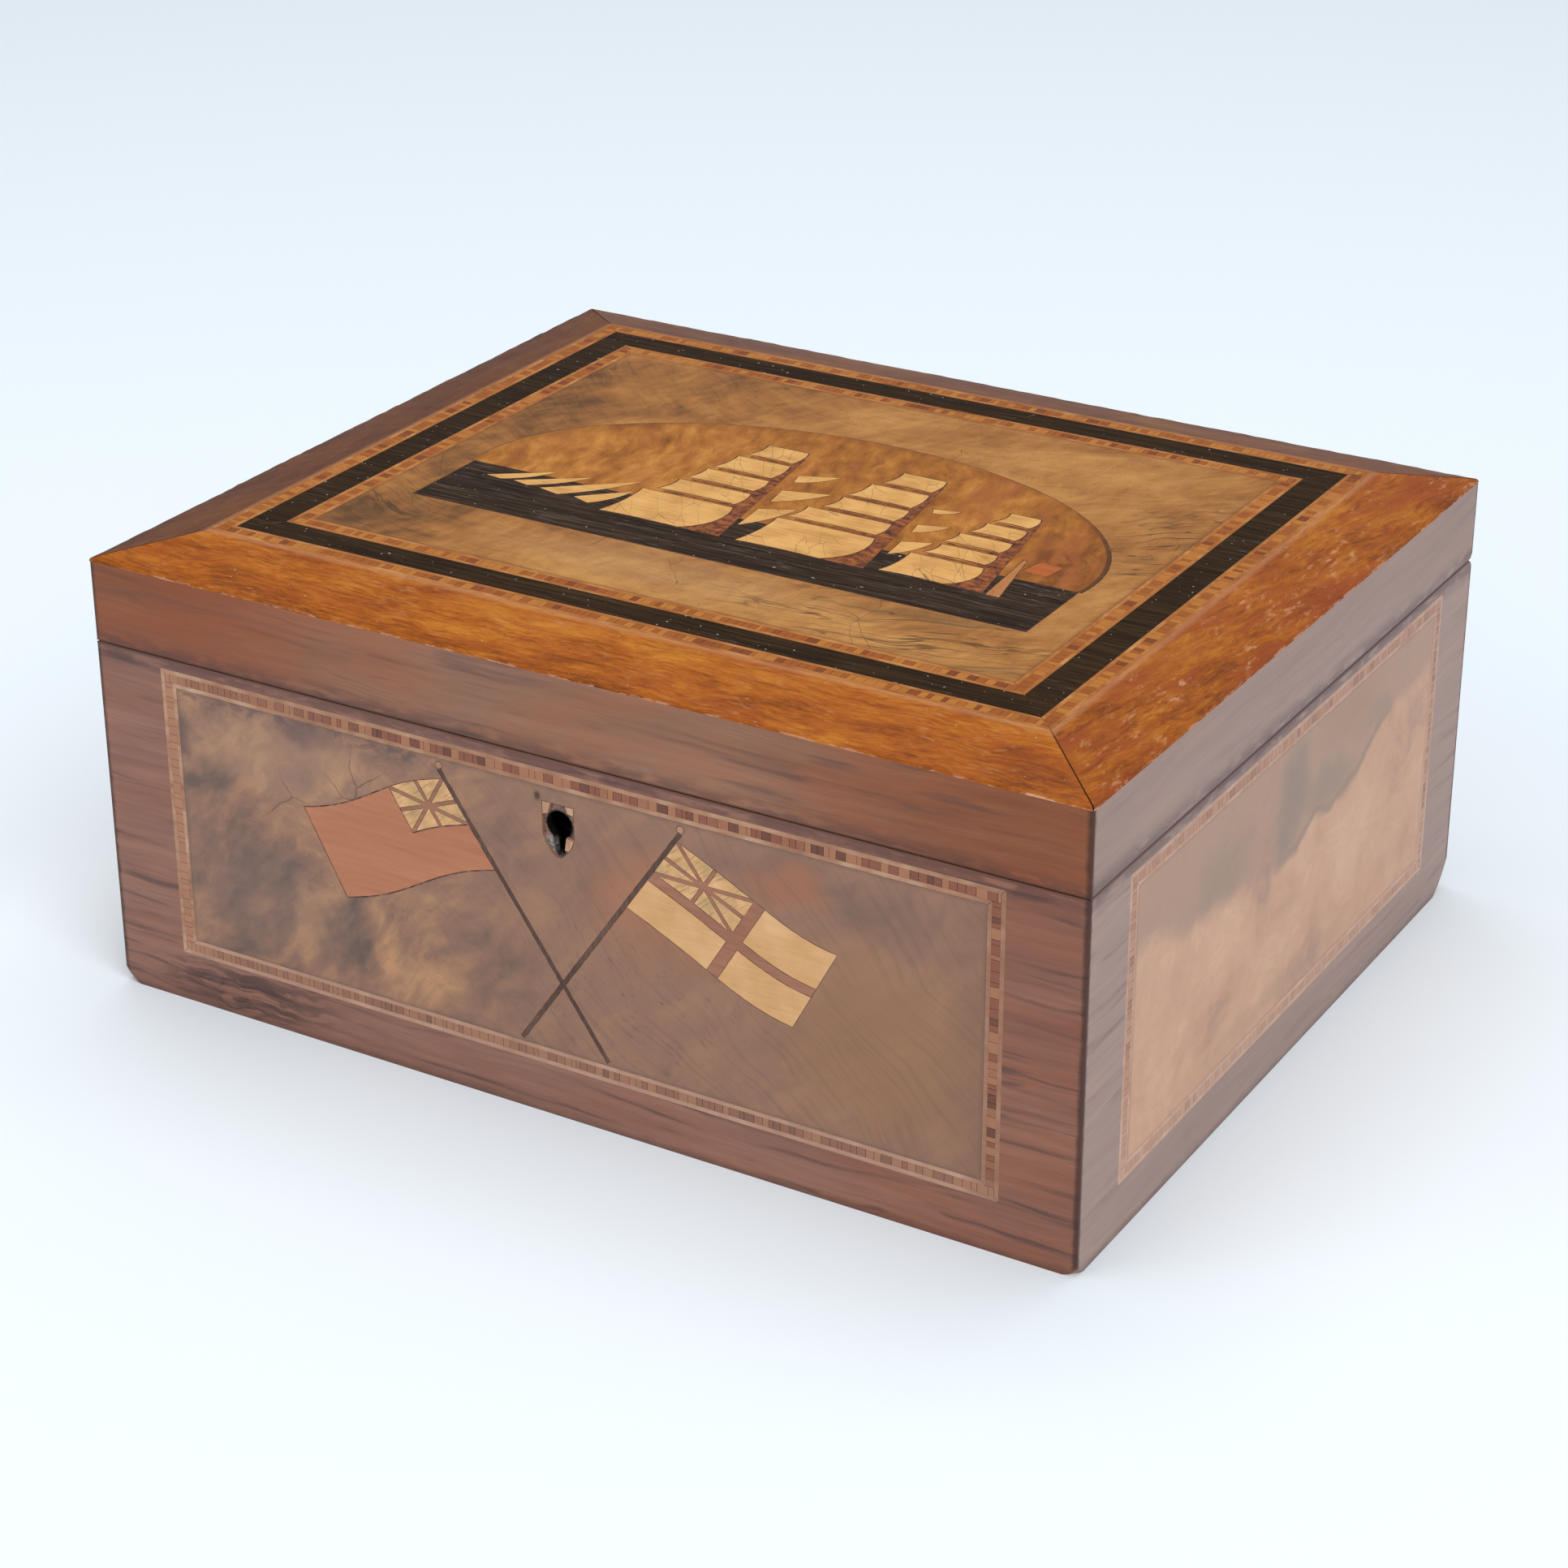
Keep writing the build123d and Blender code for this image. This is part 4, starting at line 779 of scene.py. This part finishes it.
def metal(name, alloy):
    """Tarnished metal: brighter where it is handled, with a fine drawn grain."""
    finish = Finish(name, alloy, "X", 2)
    tarnish = finish.marks(finish.place, 6, 5.0, 0.65)
    drawn = finish.fibres(finish.place, 8, 0.12, 2.0)
    finish.start(tarnish, 0.3, 0.5, 0.7)
    # Painted shade in and round the keyhole
    paint_keyhole_shade(finish)
    return finish.finished(0.32 + tarnish * 0.3, drawn * 0.6 + tarnish * 0.4, 0.02, metallic=1.0)


def pine(name, along, seed):
    """Old varnished board: broad soft growth lines, thin dark late wood and fine fibres."""
    finish = Finish(name, "pine", along, seed)
    place = finish.warped(finish.place, (120, 22))
    growth = finish.fibres(place, 260, 4.5, 3.0, 0.5)
    rings = finish.band(abs(finish.maths("FRACT", growth * 9.0) - 0.5), 0.30, 0.5)
    fibre = finish.fibres(place, 12, 0.45, 3.0, 0.6)
    clouds = finish.marks(finish.place, 60)
    finish.colour = finish.ramp(clouds * 0.5 + growth * 0.5, (0.36, finish.middle), (0.62, finish.light))
    finish.stain(rings * 0.55, finish.dark)
    finish.stain(finish.band(fibre, 0.5, 0.75) * 0.25, finish.dark)
    # Painted shade in and round the keyhole
    paint_keyhole_shade(finish)
    return finish.finished(0.45 + fibre * 0.2, fibre * 0.7 + rings * 0.3, 0.05, 0.1)


def paint_keyhole_shade(finish):
    """Painted shade in and round the keyhole: black, but for dull grey at the keyhole's foot."""
    low, high = (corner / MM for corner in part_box("keyhole_escutcheon"))
    middle = (low + high) / 2
    keyhole_shade = finish.spot(finish.true_place, (0, middle.y + 4, middle.z), (11, 16, 15)) * 3.0
    foot = finish.band(finish.axis("Z"), low.z + 4.6, low.z + 3.2)
    marks = finish.marks(finish.place, (0.8, 3.0, 0.8), 3.0, 0.6)
    grey = finish.ramp(marks, (0.38, "3c3632"), (0.64, "8a827a"))
    finish.stain(finish.maths("MINIMUM", keyhole_shade, 1.0), finish.mix(foot, "120d0b", grey))


def keyhole_bed_with_shade():
    """What the broken escutcheon lay on: brown wood, painted shade in black round the hole and grey at its
    foot.
    """
    finish = Finish("keyhole_bed_with_shade", seed=7)
    low, high = (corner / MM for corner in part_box("keyhole_escutcheon"))
    marks = finish.marks(finish.place, (1.2, 1.2, 0.7), 4.0, 0.65)
    finish.colour = finish.ramp(marks, (0.36, "5e443c"), (0.64, "8e6e62"))
    grey = finish.band(finish.axis("Z") + marks * 1.5, low.z + 6.0, low.z + 4.5)
    finish.stain(grey, finish.ramp(marks, (0.35, "4e4842"), (0.65, "a09890")))
    hole = finish.away(finish.true_place, (0, 0, high.z - 6.0), (1, math.inf, 1))
    # Painted shade: black round the keyhole, but not on the grey at its foot
    finish.stain(finish.band(hole + marks, 5.0, 4.3) * (1.0 - grey), "120d0b")
    return finish.finished(0.5 + marks * 0.2, marks, 0.15)


# ---------------------------------------------------------------- working on meshes


def activate(piece):
    """Select one object only, and make it the active one."""
    bpy.ops.object.select_all(action="DESELECT")
    piece.select_set(True)
    bpy.context.view_layer.objects.active = piece


@contextmanager
def editing(piece, mode="FACE"):
    """Edit mode on one object, with only what was marked before it selected."""
    activate(piece)
    bpy.ops.object.mode_set(mode="EDIT")
    bpy.ops.mesh.select_mode(type=mode)
    yield
    bpy.ops.object.mode_set(mode="OBJECT")


def mark(piece, faces=None, edges=None):
    """Mark the faces or edges that pass a test, and nothing else."""
    mesh = piece.data
    for group in (mesh.vertices, mesh.edges, mesh.polygons):
        group.foreach_set("select", [False] * len(group))
    if faces:
        found = [face for face in mesh.polygons if faces(face)]
    else:
        found = [edge for edge in mesh.edges if edges(*(mesh.vertices[i].co for i in edge.vertices))]
        for edge in found:
            for i in edge.vertices:
                mesh.vertices[i].select = True
    for part in found:
        part.select = True
    if not found:
        raise ValueError(f"nothing on {piece.name} passes the test")


def copied(node, name):
    """A new piece with a copy of a CAD node's mesh, its doubled points merged."""
    piece = bpy.data.objects.new(name, frame["nodes"][node].data.copy())
    bpy.context.scene.collection.objects.link(piece)
    piece.data.materials.clear()
    with editing(piece, "VERT"):
        bpy.ops.mesh.select_all(action="SELECT")
        bpy.ops.mesh.remove_doubles(threshold=MERGED)
        bpy.ops.mesh.customdata_custom_splitnormals_clear()
        bpy.ops.mesh.normals_make_consistent(inside=False)
    piece.data.polygons.foreach_set("use_smooth", [False] * len(piece.data.polygons))
    return piece


def seat(piece, *nodes_replaced):
    """Let a piece stand for CAD nodes: it hides them and rides on their body."""
    first = nodes_replaced[0]
    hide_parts(*nodes_replaced)
    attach(piece, body_of[first])


def paint(piece, *materials):
    """Give a piece its materials, in the order of its slots."""
    piece.data.materials.clear()
    for material in materials:
        piece.data.materials.append(material)


def dressed(node, material):
    """A CAD node that keeps its shape and gets a finish."""
    paint(frame["nodes"][node], material)


def joined(pieces, name):
    """Several pieces made one, under a new name."""
    whole = pieces[0]
    activate(whole)
    for piece in pieces:
        piece.select_set(True)
    bpy.ops.object.join()
    whole.name = name
    whole.data.name = name
    return whole


def flattened(piece):
    """Merge the loose triangles of flat faces into whole faces."""
    with editing(piece):
        bpy.ops.mesh.select_all(action="SELECT")
        bpy.ops.mesh.dissolve_limited(angle_limit=math.radians(0.5))


def bevelled(piece, width, segments, edges):
    """Round the edges that pass a test."""
    mark(piece, edges=edges)
    with editing(piece, "EDGE"):
        bpy.ops.mesh.bevel(offset=width, segments=segments, affect="EDGES", clamp_overlap=False)


def smoothed(piece, degrees=35):
    """Shade the rounded stretches smooth and keep the sharp edges."""
    activate(piece)
    bpy.ops.object.shade_smooth_by_angle(angle=math.radians(degrees))


def eased(piece, outward, wood, glue, times=1.0):
    """Give a sheet its wood, with a fine sunk line of glue round each outline on its outer side."""
    sizes = bpy.context.scene.ditty_sizes
    paint(piece, wood, glue)
    mark(piece, faces=lambda face: face.normal.dot(outward) > FACING)
    with editing(piece):
        bpy.ops.transform.translate(value=outward * -sizes.ease_depth)
        bpy.ops.mesh.inset(thickness=sizes.ease * times, depth=sizes.ease_depth, use_even_offset=False)
    for face in piece.data.polygons:
        face.material_index = int(SIDEWAYS < face.normal.dot(outward) < FACING)


def marquetry(node, outward, wood, glue, times=1.0, name=None):
    """A flush sheet of marquetry in place of a node, its glue line this many times the usual width."""
    piece = copied(node, name or f"{node}_inlaid")
    eased(piece, outward, wood, glue, times)
    seat(piece, node)


# ---------------------------------------------------------------- pieces of the box


class DITTY_OT_carcase(Operator):
    """Finish the boards of the base and the lid"""

    bl_idname = "ditty.carcase"
    bl_label = "Carcase"

    def execute(self, context):
        lengthwise = ["bottom_board", "front_board", "back_board"]
        lengthwise += ["lid_top_board", "lid_front_rail", "lid_back_rail"]
        crosswise = ["left_board", "right_board", "lid_left_rail", "lid_right_rail"]
        for seed, node in enumerate(lengthwise + crosswise):
            dressed(node, pine(f"pine_{node}", "X" if node in lengthwise else "Y", seed))
        return {"FINISHED"}


def outer(point):
    """Whether a point lies on one of the four outer faces."""
    return abs(point.x) > half_length - NEAR or abs(point.y) > half_depth - NEAR


def corner_edge(a, b):
    """Whether an edge is an upright outer arris of the box."""
    at_corner = all(abs(p.x) > half_length - NEAR and abs(p.y) > half_depth - NEAR for p in (a, b))
    return at_corner and abs(a.z - b.z) > 1 * MM


def seam_edge(a, b):
    """Whether an edge runs along the seam outside, on the base or on the lid."""
    level = any(abs(a.z - z) < NEAR and abs(b.z - z) < NEAR for z in (base_top, lid_bottom))
    return level and outer(a) and outer(b)


class DITTY_OT_borders(Operator):
    """Round the worn arrises of the brown margins and faces, and finish them"""

    bl_idname = "ditty.borders"
    bl_label = "Face margins"

    def execute(self, context):
        sizes = context.scene.ditty_sizes
        # A cast and its share, smoke, bloom, and how far the left and right ends are darkened
        brown = ("90665a", 0.4, 0.7, 0.15, 0.0, 0.33)
        warm = ("946a4e", 0.4, 0.5, 0.35, 0.87, 0.8)
        dim = ("946848", 0.5, 0.25, 0.5, 0.0, 0.0)
        # The grey casts of the right faces are partly the wood's own colour and partly a painted sheen
        grey = ("b09a92", 0.56, 0.30, 0.0, 0.0, 0.0)
        greyer = ("a88e84", 0.60, 0.15, 0.0, 0.0, 0.0)
        faces = {
            "front_border_veneer": ("X", *brown),
            "back_veneer": ("X", *brown),
            "right_border_veneer": ("Y", *grey),
            "left_border_veneer": ("Y", *dim),
            "lid_front_veneer": ("X", *warm),
            "lid_back_veneer": ("X", *warm),
            "lid_right_veneer": ("Y", *greyer),
            "lid_left_veneer": ("Y", *dim),
        }
        for seed, (node, (along, *figure)) in enumerate(faces.items()):
            piece = copied(node, f"{node}_worn")
            flattened(piece)
            if "back" not in node:
                bevelled(piece, sizes.seam_edge, 2, seam_edge)
            if along == "X":
                bevelled(piece, sizes.arris, 3, corner_edge)
            smoothed(piece)
            paint(piece, border_wood(f"crossbanding_{node}", along, seed, *figure))
            seat(piece, node)
        return {"FINISHED"}


class DITTY_OT_canted_border(Operator):
    """Make the lid's sloping margin: four mitred strips with a dented arris"""

    bl_idname = "ditty.canted_border"
    bl_label = "Canted margin"

    def execute(self, context):
        sizes = context.scene.ditty_sizes
        whole = copied("lid_canted_border", "canted_strip")
        with editing(whole):
            bpy.ops.mesh.select_all(action="SELECT")
            bpy.ops.mesh.separate(type="LOOSE")
        strips = [o for o in bpy.data.objects if o.name.startswith("canted_strip")]
        # Scuffs, blush, shade and painted highlight
        figures = {
            "front": (0.3, 0.3, 0.0, 0.03),
            "back": (0.1, 0.3, 0.6, 0.0),
            "right": (0.75, 0.8, 0.06, 0.0),
            "left": (0.1, 0.3, 0.7, 0.0),
        }
        dents = bpy.data.textures.new("dents", "CLOUDS")
        dents.noise_scale = sizes.dent
        for strip in strips:
            middle = sum((v.co for v in strip.data.vertices), Vector()) / len(strip.data.vertices)
            across = abs(middle.x) > abs(middle.y)
            if across:
                name = "right" if middle.x > 0 else "left"
            else:
                name = "back" if middle.y > 0 else "front"
            strip.name = f"canted_border_{name}"
            self.shape(strip, across, sizes, dents)
            along, turn = ("Y", 7) if across else ("X", 0)
            seed = list(figures).index(name)
            paint(strip, canted_wood(strip.name, along, seed, *figures[name], turn))
            seat(strip, "lid_canted_border")
        return {"FINISHED"}

    def shape(self, strip, across, sizes, dents):
        """Whole faces, many short lengths, and a rounded arris that the dents eat into."""
        flattened(strip)
        along = 1 if across else 0
        reach = [v.co[along] for v in strip.data.vertices]
        run = max(reach) - min(reach)
        mark(strip, edges=lambda a, b: abs(a[along] - b[along]) > run / 2)
        with editing(strip, "EDGE"):
            bpy.ops.mesh.subdivide(number_cuts=int(2 * run / sizes.dent))
        arris = max(v.co.z for v in strip.data.vertices if outer(v.co))
        bevelled(strip, sizes.arris, 3, lambda *ends: all(outer(p) and abs(p.z - arris) < NEAR for p in ends))
        low, high = arris - 1.05 * sizes.arris, arris + 0.3 * MM
        rounded = [v.index for v in strip.data.vertices if low < v.co.z < high]
        strip.vertex_groups.new(name="arris").add(rounded, 1.0, "REPLACE")
        activate(strip)
        wear = strip.modifiers.new("wear", "DISPLACE")
        wear.texture = dents
        wear.texture_coords = "LOCAL"
        wear.vertex_group = "arris"
        wear.mid_level = 1.0
        wear.strength = sizes.wear
        bpy.ops.object.modifier_apply(modifier="wear")
        smoothed(strip)


class DITTY_OT_bandings(Operator):
    """Make the chequered bandings from separate small blocks, and finish the strings and the ebony band"""

    bl_idname = "ditty.bandings"
    bl_label = "Bandings"

    def execute(self, context):
        sizes = context.scene.ditty_sizes
        block = self.block()
        chance = random.Random(11)
        ends = block_wood("end_block")
        bands = {
            "front_chequer_band": (-Y, block_wood("block")),
            "right_chequer_band": (X, ends),
            "left_chequer_band": (-X, ends),
            "lid_chequer_bands": (Z, block_wood("lid_block")),
        }
        for node, (outward, wood) in bands.items():
            rows = [self.row(block, *corners, outward, sizes, chance) for corners in strips_of(node)]
            band = joined([piece for row in rows for piece in row], f"{node}_blocks")
            paint(band, wood)
            seat(band, node)
        bpy.data.objects.remove(block)
        strings = {
            "front_stringing": "string",
            "right_stringing": "end_string",
            "left_stringing": "end_string",
            "lid_stringing": "lid_string",
        }
        for seed, (node, wood) in enumerate(strings.items(), 20):
            dressed(node, boxwood(node, wood, seed, streak=(9, 2.0)))
        ebony, glue = ebony_wood("ebony_band", "ebony", 12, 0.25), glue_line("band_glue", "dark_glue")
        marquetry("lid_ebony_band", Z, ebony, glue, name="ebony_band_eased")
        return {"FINISHED"}

    def block(self):
        """One block, a unit long, wide and thick, with its upper edges bevelled."""
        bpy.ops.object.select_all(action="DESELECT")
        bpy.ops.mesh.primitive_cube_add(size=1)
        block = bpy.context.object
        block.name = "banding_block"
        fall, width = 0.04, 0.03    # the bevel, as shares of the block
        mark(block, faces=lambda face: face.normal.z > FACING)
        with editing(block):
            bpy.ops.transform.translate(value=(0, 0, -fall))
            bpy.ops.mesh.inset(thickness=width)
            bpy.ops.transform.translate(value=(0, 0, fall))
        block.data.attributes.new("tone", "FLOAT", "FACE")
        return block

    def row(self, block, low, high, outward, sizes, chance):
        """Blocks of uneven length laid end to end in one strip, between the strips that cross its ends."""
        size = high - low
        run = max(range(3), key=lambda axis: size[axis])
        thick = max(range(3), key=lambda axis: abs(outward[axis]))
        side = 3 - run - thick
        if run > side:
            low[run] += size[side]
            high[run] -= size[side]
        # The block's own X runs along the strip, its Y across it and its Z outwards
        turn = Matrix.Diagonal((0, 0, 0))
        turn[run][0], turn[side][1], turn[thick][2] = 1, 1, outward[thick]
        start, shortest = low[run], 0.2 * sizes.block_length
        while start < high[run] - shortest:
            reach = sizes.block_length * (1 + sizes.uneven * chance.uniform(-1, 1))
            end = min(start + reach, high[run])
            middle = (low + high) / 2
            middle[run] = (start + end) / 2
            stretch = Matrix.Diagonal((end - start - sizes.block_gap, size[side], size[thick], 1))
            copy = bpy.data.objects.new("block", block.data.copy())
            copy.data.transform(Matrix.Translation(middle) @ turn.to_4x4() @ stretch)
            if turn.determinant() < 0:
                copy.data.flip_normals()
            tone = chance.random()
            copy.data.attributes["tone"].data.foreach_set("value", [tone] * len(copy.data.polygons))
            bpy.context.scene.collection.objects.link(copy)
            yield copy
            start = end


def strips_of(node):
    """The lowest and highest corner of each separate solid of a CAD node."""
    mesh = frame["nodes"][node].data
    points = [tuple(round(c, 6) for c in vertex.co) for vertex in mesh.vertices]
    strips = []
    for face in mesh.polygons:
        strip = {points[i] for i in face.vertices}
        for touching in [other for other in strips if other & strip]:
            strips.remove(touching)
            strip |= touching
        strips.append(strip)
    strips.sort(key=lambda strip: min(map(points.index, strip)))
    return [(Vector(map(min, zip(*strip))), Vector(map(max, zip(*strip)))) for strip in strips]


class DITTY_OT_lid_picture(Operator):
    """Inlay the ship, the sea and the sky in the lid's field"""

    bl_idname = "ditty.lid_picture"
    bl_label = "Lid picture"

    def execute(self, context):
        glue = glue_line("lid_glue", "dark_glue")
        for node, wood, times in (
            ("lid_field_veneer", lid_field_wood(), 1.0),
            ("lid_sky_veneer", sky_wood(), 1.0),
            ("lid_sea_veneer", ebony_wood("sea_ebony", "sea", 14, 0.7), 1.0),
            ("ship_sails", boxwood("sail_boxwood", "sail", 15, 0.7), 2.4),
            ("ship_headsails", boxwood("headsail_boxwood", "sail", 16, 0.4), 1.6),
            ("ship_masts", spar_wood(), 1.0),
            ("ship_flag", plain_wood("flag_redwood", "flag", "X", 17, coat=0.04, gloss=0.07), 1.0),
        ):
            marquetry(node, Z, wood, glue, times)
        return {"FINISHED"}


class DITTY_OT_front_picture(Operator):
    """Inlay the crossed ensigns in the front's field"""

    bl_idname = "ditty.front_picture"
    bl_label = "Front picture"

    def execute(self, context):
        glue = glue_line("front_glue", "pale_glue")
        for node, wood, times in (
            ("front_field_veneer", front_burr(), 1.0),
            ("red_ensign_field", plain_wood("ensign_red", "red", "X", 21, (30, 1.6), 0.3, 0.15), 2.4),
            ("white_ensign_panels", boxwood("ensign_cream", "cream", 22), 1.0),
            ("ensign_cantons", canton_wood(), 1.0),
            ("ensign_crosses", plain_wood("ensign_crosses", "cross", "X", 23, (12, 1.2), 0.3, 0.3), 1.0),
            ("front_flagstaffs", plain_wood("staff_wood", "staff", "Z", 24, (12, 0.8), 0.2, 0.3), 1.0),
            ("staff_finials", boxwood("finial_boxwood", "string", 25), 1.0),
        ):
            marquetry(node, -Y, wood, glue, times)
        return {"FINISHED"}


class DITTY_OT_end_panels(Operator):
    """Finish the burr fields of the two ends"""

    bl_idname = "ditty.end_panels"
    bl_label = "End panels"

    def execute(self, context):
        glue = glue_line("end_glue", "pale_glue")
        for seed, (side, outward) in enumerate((("right", X), ("left", -X)), 30):
            marquetry(f"{side}_field_veneer", outward, end_burr(side, seed), glue)
        return {"FINISHED"}


class DITTY_OT_escutcheon(Operator):
    """Break the keyhole's shield down to its three remnants, over a grimy bed with painted shade round the
    keyhole
    """

    bl_idname = "ditty.escutcheon"
    bl_label = "Escutcheon"

    def execute(self, context):
        low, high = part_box("keyhole_escutcheon")
        # For each remnant, the X and Z of a point on each break and of the way off it
        breaks = (
            ((low.x + 2.6 * MM, high.z, 1.0, -0.25), (low.x, high.z - 3.8 * MM, 0.3, -1.0)),
            ((high.x - 2.6 * MM, high.z, -1.0, -0.30), (high.x, high.z - 2.4 * MM, -0.2, -1.0)),
            (
                (high.x - 3.1 * MM, low.z + 3.0 * MM, -1.0, 0.2),
                (high.x, low.z + 5.0 * MM, 0.2, 1.0),
                (high.x, low.z + 1.6 * MM, 0.0, -1.0),
            ),
        )
        remnants = [self.remnant(number, cuts) for number, cuts in enumerate(breaks)]
        shield = joined(remnants, "escutcheon_remnants")
        wood = boxwood("shield_boxwood", "shield", 33, 0.3, "Z")
        eased(shield, -Y, wood, glue_line("shield_glue", "dark_glue"))
        seat(shield, "keyhole_escutcheon")
        bed = copied("keyhole_escutcheon", "escutcheon_bed")
        thickness_kept = 0.3
        to_back = Matrix.Translation(Y * high.y)
        bed.data.transform(to_back @ Matrix.Scale(thickness_kept, 4, Y) @ to_back.inverted())
        paint(bed, keyhole_bed_with_shade())
        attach(bed, body_of["keyhole_escutcheon"])
        return {"FINISHED"}

    def remnant(self, number, cuts):
        """What is left of the shield when everything past a few upright planes has gone."""
        piece = copied("keyhole_escutcheon", f"shield_remnant_{number}")
        with editing(piece):
            for x, z, off_x, off_z in cuts:
                bpy.ops.mesh.select_all(action="SELECT")
                bpy.ops.mesh.bisect(
                    plane_co=(x, 0, z), plane_no=(off_x, 0, off_z), clear_outer=True, use_fill=True
                )
        return piece


class DITTY_OT_fittings(Operator):
    """Bevel and finish the hinges, the lock and the screws"""

    bl_idname = "ditty.fittings"
    bl_label = "Fittings"

    def execute(self, context):
        brass = metal("tarnished_brass", "brass")
        steel = metal("dull_steel", "steel")
        leaves = [f"{side}_hinge_{part}_leaf" for side in ("left", "right") for part in ("base", "lid")]
        for node in (*leaves, "link_plate", "lock_bolt"):
            piece = copied(node, f"{node}_edged")
            flattened(piece)
            activate(piece)
            bevel = piece.modifiers.new("edge", "BEVEL")
            bevel.width = context.scene.ditty_sizes.fitting_edge
            bevel.segments = 2
            bevel.limit_method = "ANGLE"
            bevel.angle_limit = math.radians(50)
            bpy.ops.object.modifier_apply(modifier="edge")
            smoothed(piece)
            paint(piece, steel if node == "lock_bolt" else brass)
            seat(piece, node)
        for node in ("lock_case", "lock_cap"):
            dressed(node, brass)
        screws = ("hinge_base_screws", "hinge_lid_screws", "lock_screws", "link_plate_screws")
        for node in ("left_hinge_pin", "right_hinge_pin", "bolt_spring", *screws):
            dressed(node, steel)
        return {"FINISHED"}


# ---------------------------------------------------------------- stage


class DITTY_OT_stage(Operator):
    """Set the pale floor, the soft lights, the sky and the camera"""

    bl_idname = "ditty.stage"
    bl_label = "Stage"

    def execute(self, context):
        stage = context.scene.ditty_stage
        self.floor(stage)
        self.world(stage)
        # Each lamp's name, its place and side in metres, and its power in watts
        for name, place, size, power in (
            ("key", (1.6, -1.1, 1.9), 1.4, 26.0),
            ("fill", (-1.0, -1.7, 1.2), 1.4, 9.0),
            ("top", (-0.1, 0.3, 2.4), 1.8, 20.0),
        ):
            self.lamp(name, Vector(place), size, power)
        self.camera(context, stage)
        context.scene.view_settings.view_transform = "Standard"
        return {"FINISHED"}

    def floor(self, stage):
        """A pale matt floor."""
        bpy.ops.object.select_all(action="DESELECT")
        bpy.ops.mesh.primitive_plane_add(size=stage.floor_size)
        floor = bpy.context.object
        floor.name = "floor"
        finish = Finish("pale_floor")
        weave = finish.marks(finish.place, 2.0)
        finish.colour = finish.mix(weave * 0.06, stage.floor_colour, "ffffff")
        paint(floor, finish.finished(0.75))

    def world(self, stage):
        """Even pale light from all round."""
        world = bpy.data.worlds.new("studio")
        bpy.context.scene.world = world
        sky = Tree(world)
        backdrop = sky.node("ShaderNodeBackground", None, {"Color": opaque(stage.sky_colour)})
        sky.node("ShaderNodeOutputWorld", None, {"Surface": backdrop})

    def lamp(self, name, place, size, power):
        """A square soft box aimed at the middle of the box."""
        light = bpy.data.lights.new(name, "AREA")
        light.size = size
        light.energy = power
        lamp = bpy.data.objects.new(name, light)
        lamp.location = place
        lamp.rotation_euler = (place - Vector((0, 0, lid_top / 2))).to_track_quat("Z", "Y").to_euler()
        bpy.context.scene.collection.objects.link(lamp)

    def camera(self, context, stage):
        """The camera to the front and right of the box, a little above it."""
        turn, rise = stage.azimuth, stage.elevation
        ahead = Vector((-math.sin(turn) * math.cos(rise), math.cos(turn) * math.cos(rise), -math.sin(rise)))
        level = ahead.cross(Z).normalized()
        upright = level.cross(ahead)
        right = level * math.cos(stage.roll) + upright * math.sin(stage.roll)
        up = upright * math.cos(stage.roll) - level * math.sin(stage.roll)
        lens = bpy.data.cameras.new("camera")
        lens.lens = stage.lens
        lens.sensor_fit = "HORIZONTAL"
        lens.clip_start = 10 * MM
        camera = bpy.data.objects.new("camera", lens)
        aim = Matrix((right, up, -ahead)).transposed().to_4x4()
        camera.matrix_world = Matrix.Translation(stage.eye) @ aim
        bpy.context.scene.collection.objects.link(camera)
        context.scene.camera = camera


OPERATORS = (
    DITTY_OT_carcase,
    DITTY_OT_borders,
    DITTY_OT_canted_border,
    DITTY_OT_bandings,
    DITTY_OT_lid_picture,
    DITTY_OT_front_picture,
    DITTY_OT_end_panels,
    DITTY_OT_escutcheon,
    DITTY_OT_fittings,
    DITTY_OT_stage,
)


class DITTY_PT_panel(Panel):
    """The box's pieces in the order in which they are made, then its sizes and colours"""

    bl_idname = "DITTY_PT_panel"
    bl_label = "Ditty Box"
    bl_space_type = "VIEW_3D"
    bl_region_type = "UI"
    bl_category = "Ditty Box"

    def draw(self, context):
        for operator in OPERATORS:
            self.layout.operator(operator.bl_idname)
        for group in (context.scene.ditty_sizes, context.scene.ditty_stage, context.scene.ditty_colours):
            for name in group.bl_rna.properties.keys():
                if name not in ("rna_type", "name"):
                    self.layout.prop(group, name)


CLASSES = (DittyColours, DittySizes, DittyStage, *OPERATORS, DITTY_PT_panel)


def register():
    for cls in CLASSES:
        bpy.utils.register_class(cls)
    bpy.types.Scene.ditty_colours = PointerProperty(type=DittyColours)
    bpy.types.Scene.ditty_sizes = PointerProperty(type=DittySizes)
    bpy.types.Scene.ditty_stage = PointerProperty(type=DittyStage)


def unregister():
    del bpy.types.Scene.ditty_stage
    del bpy.types.Scene.ditty_sizes
    del bpy.types.Scene.ditty_colours
    for cls in reversed(CLASSES):
        bpy.utils.unregister_class(cls)


def main():
    register()
    for operator in OPERATORS:
        module, name = operator.bl_idname.split(".")
        getattr(getattr(bpy.ops, module), name)()


if __name__ == "__main__":
    main()
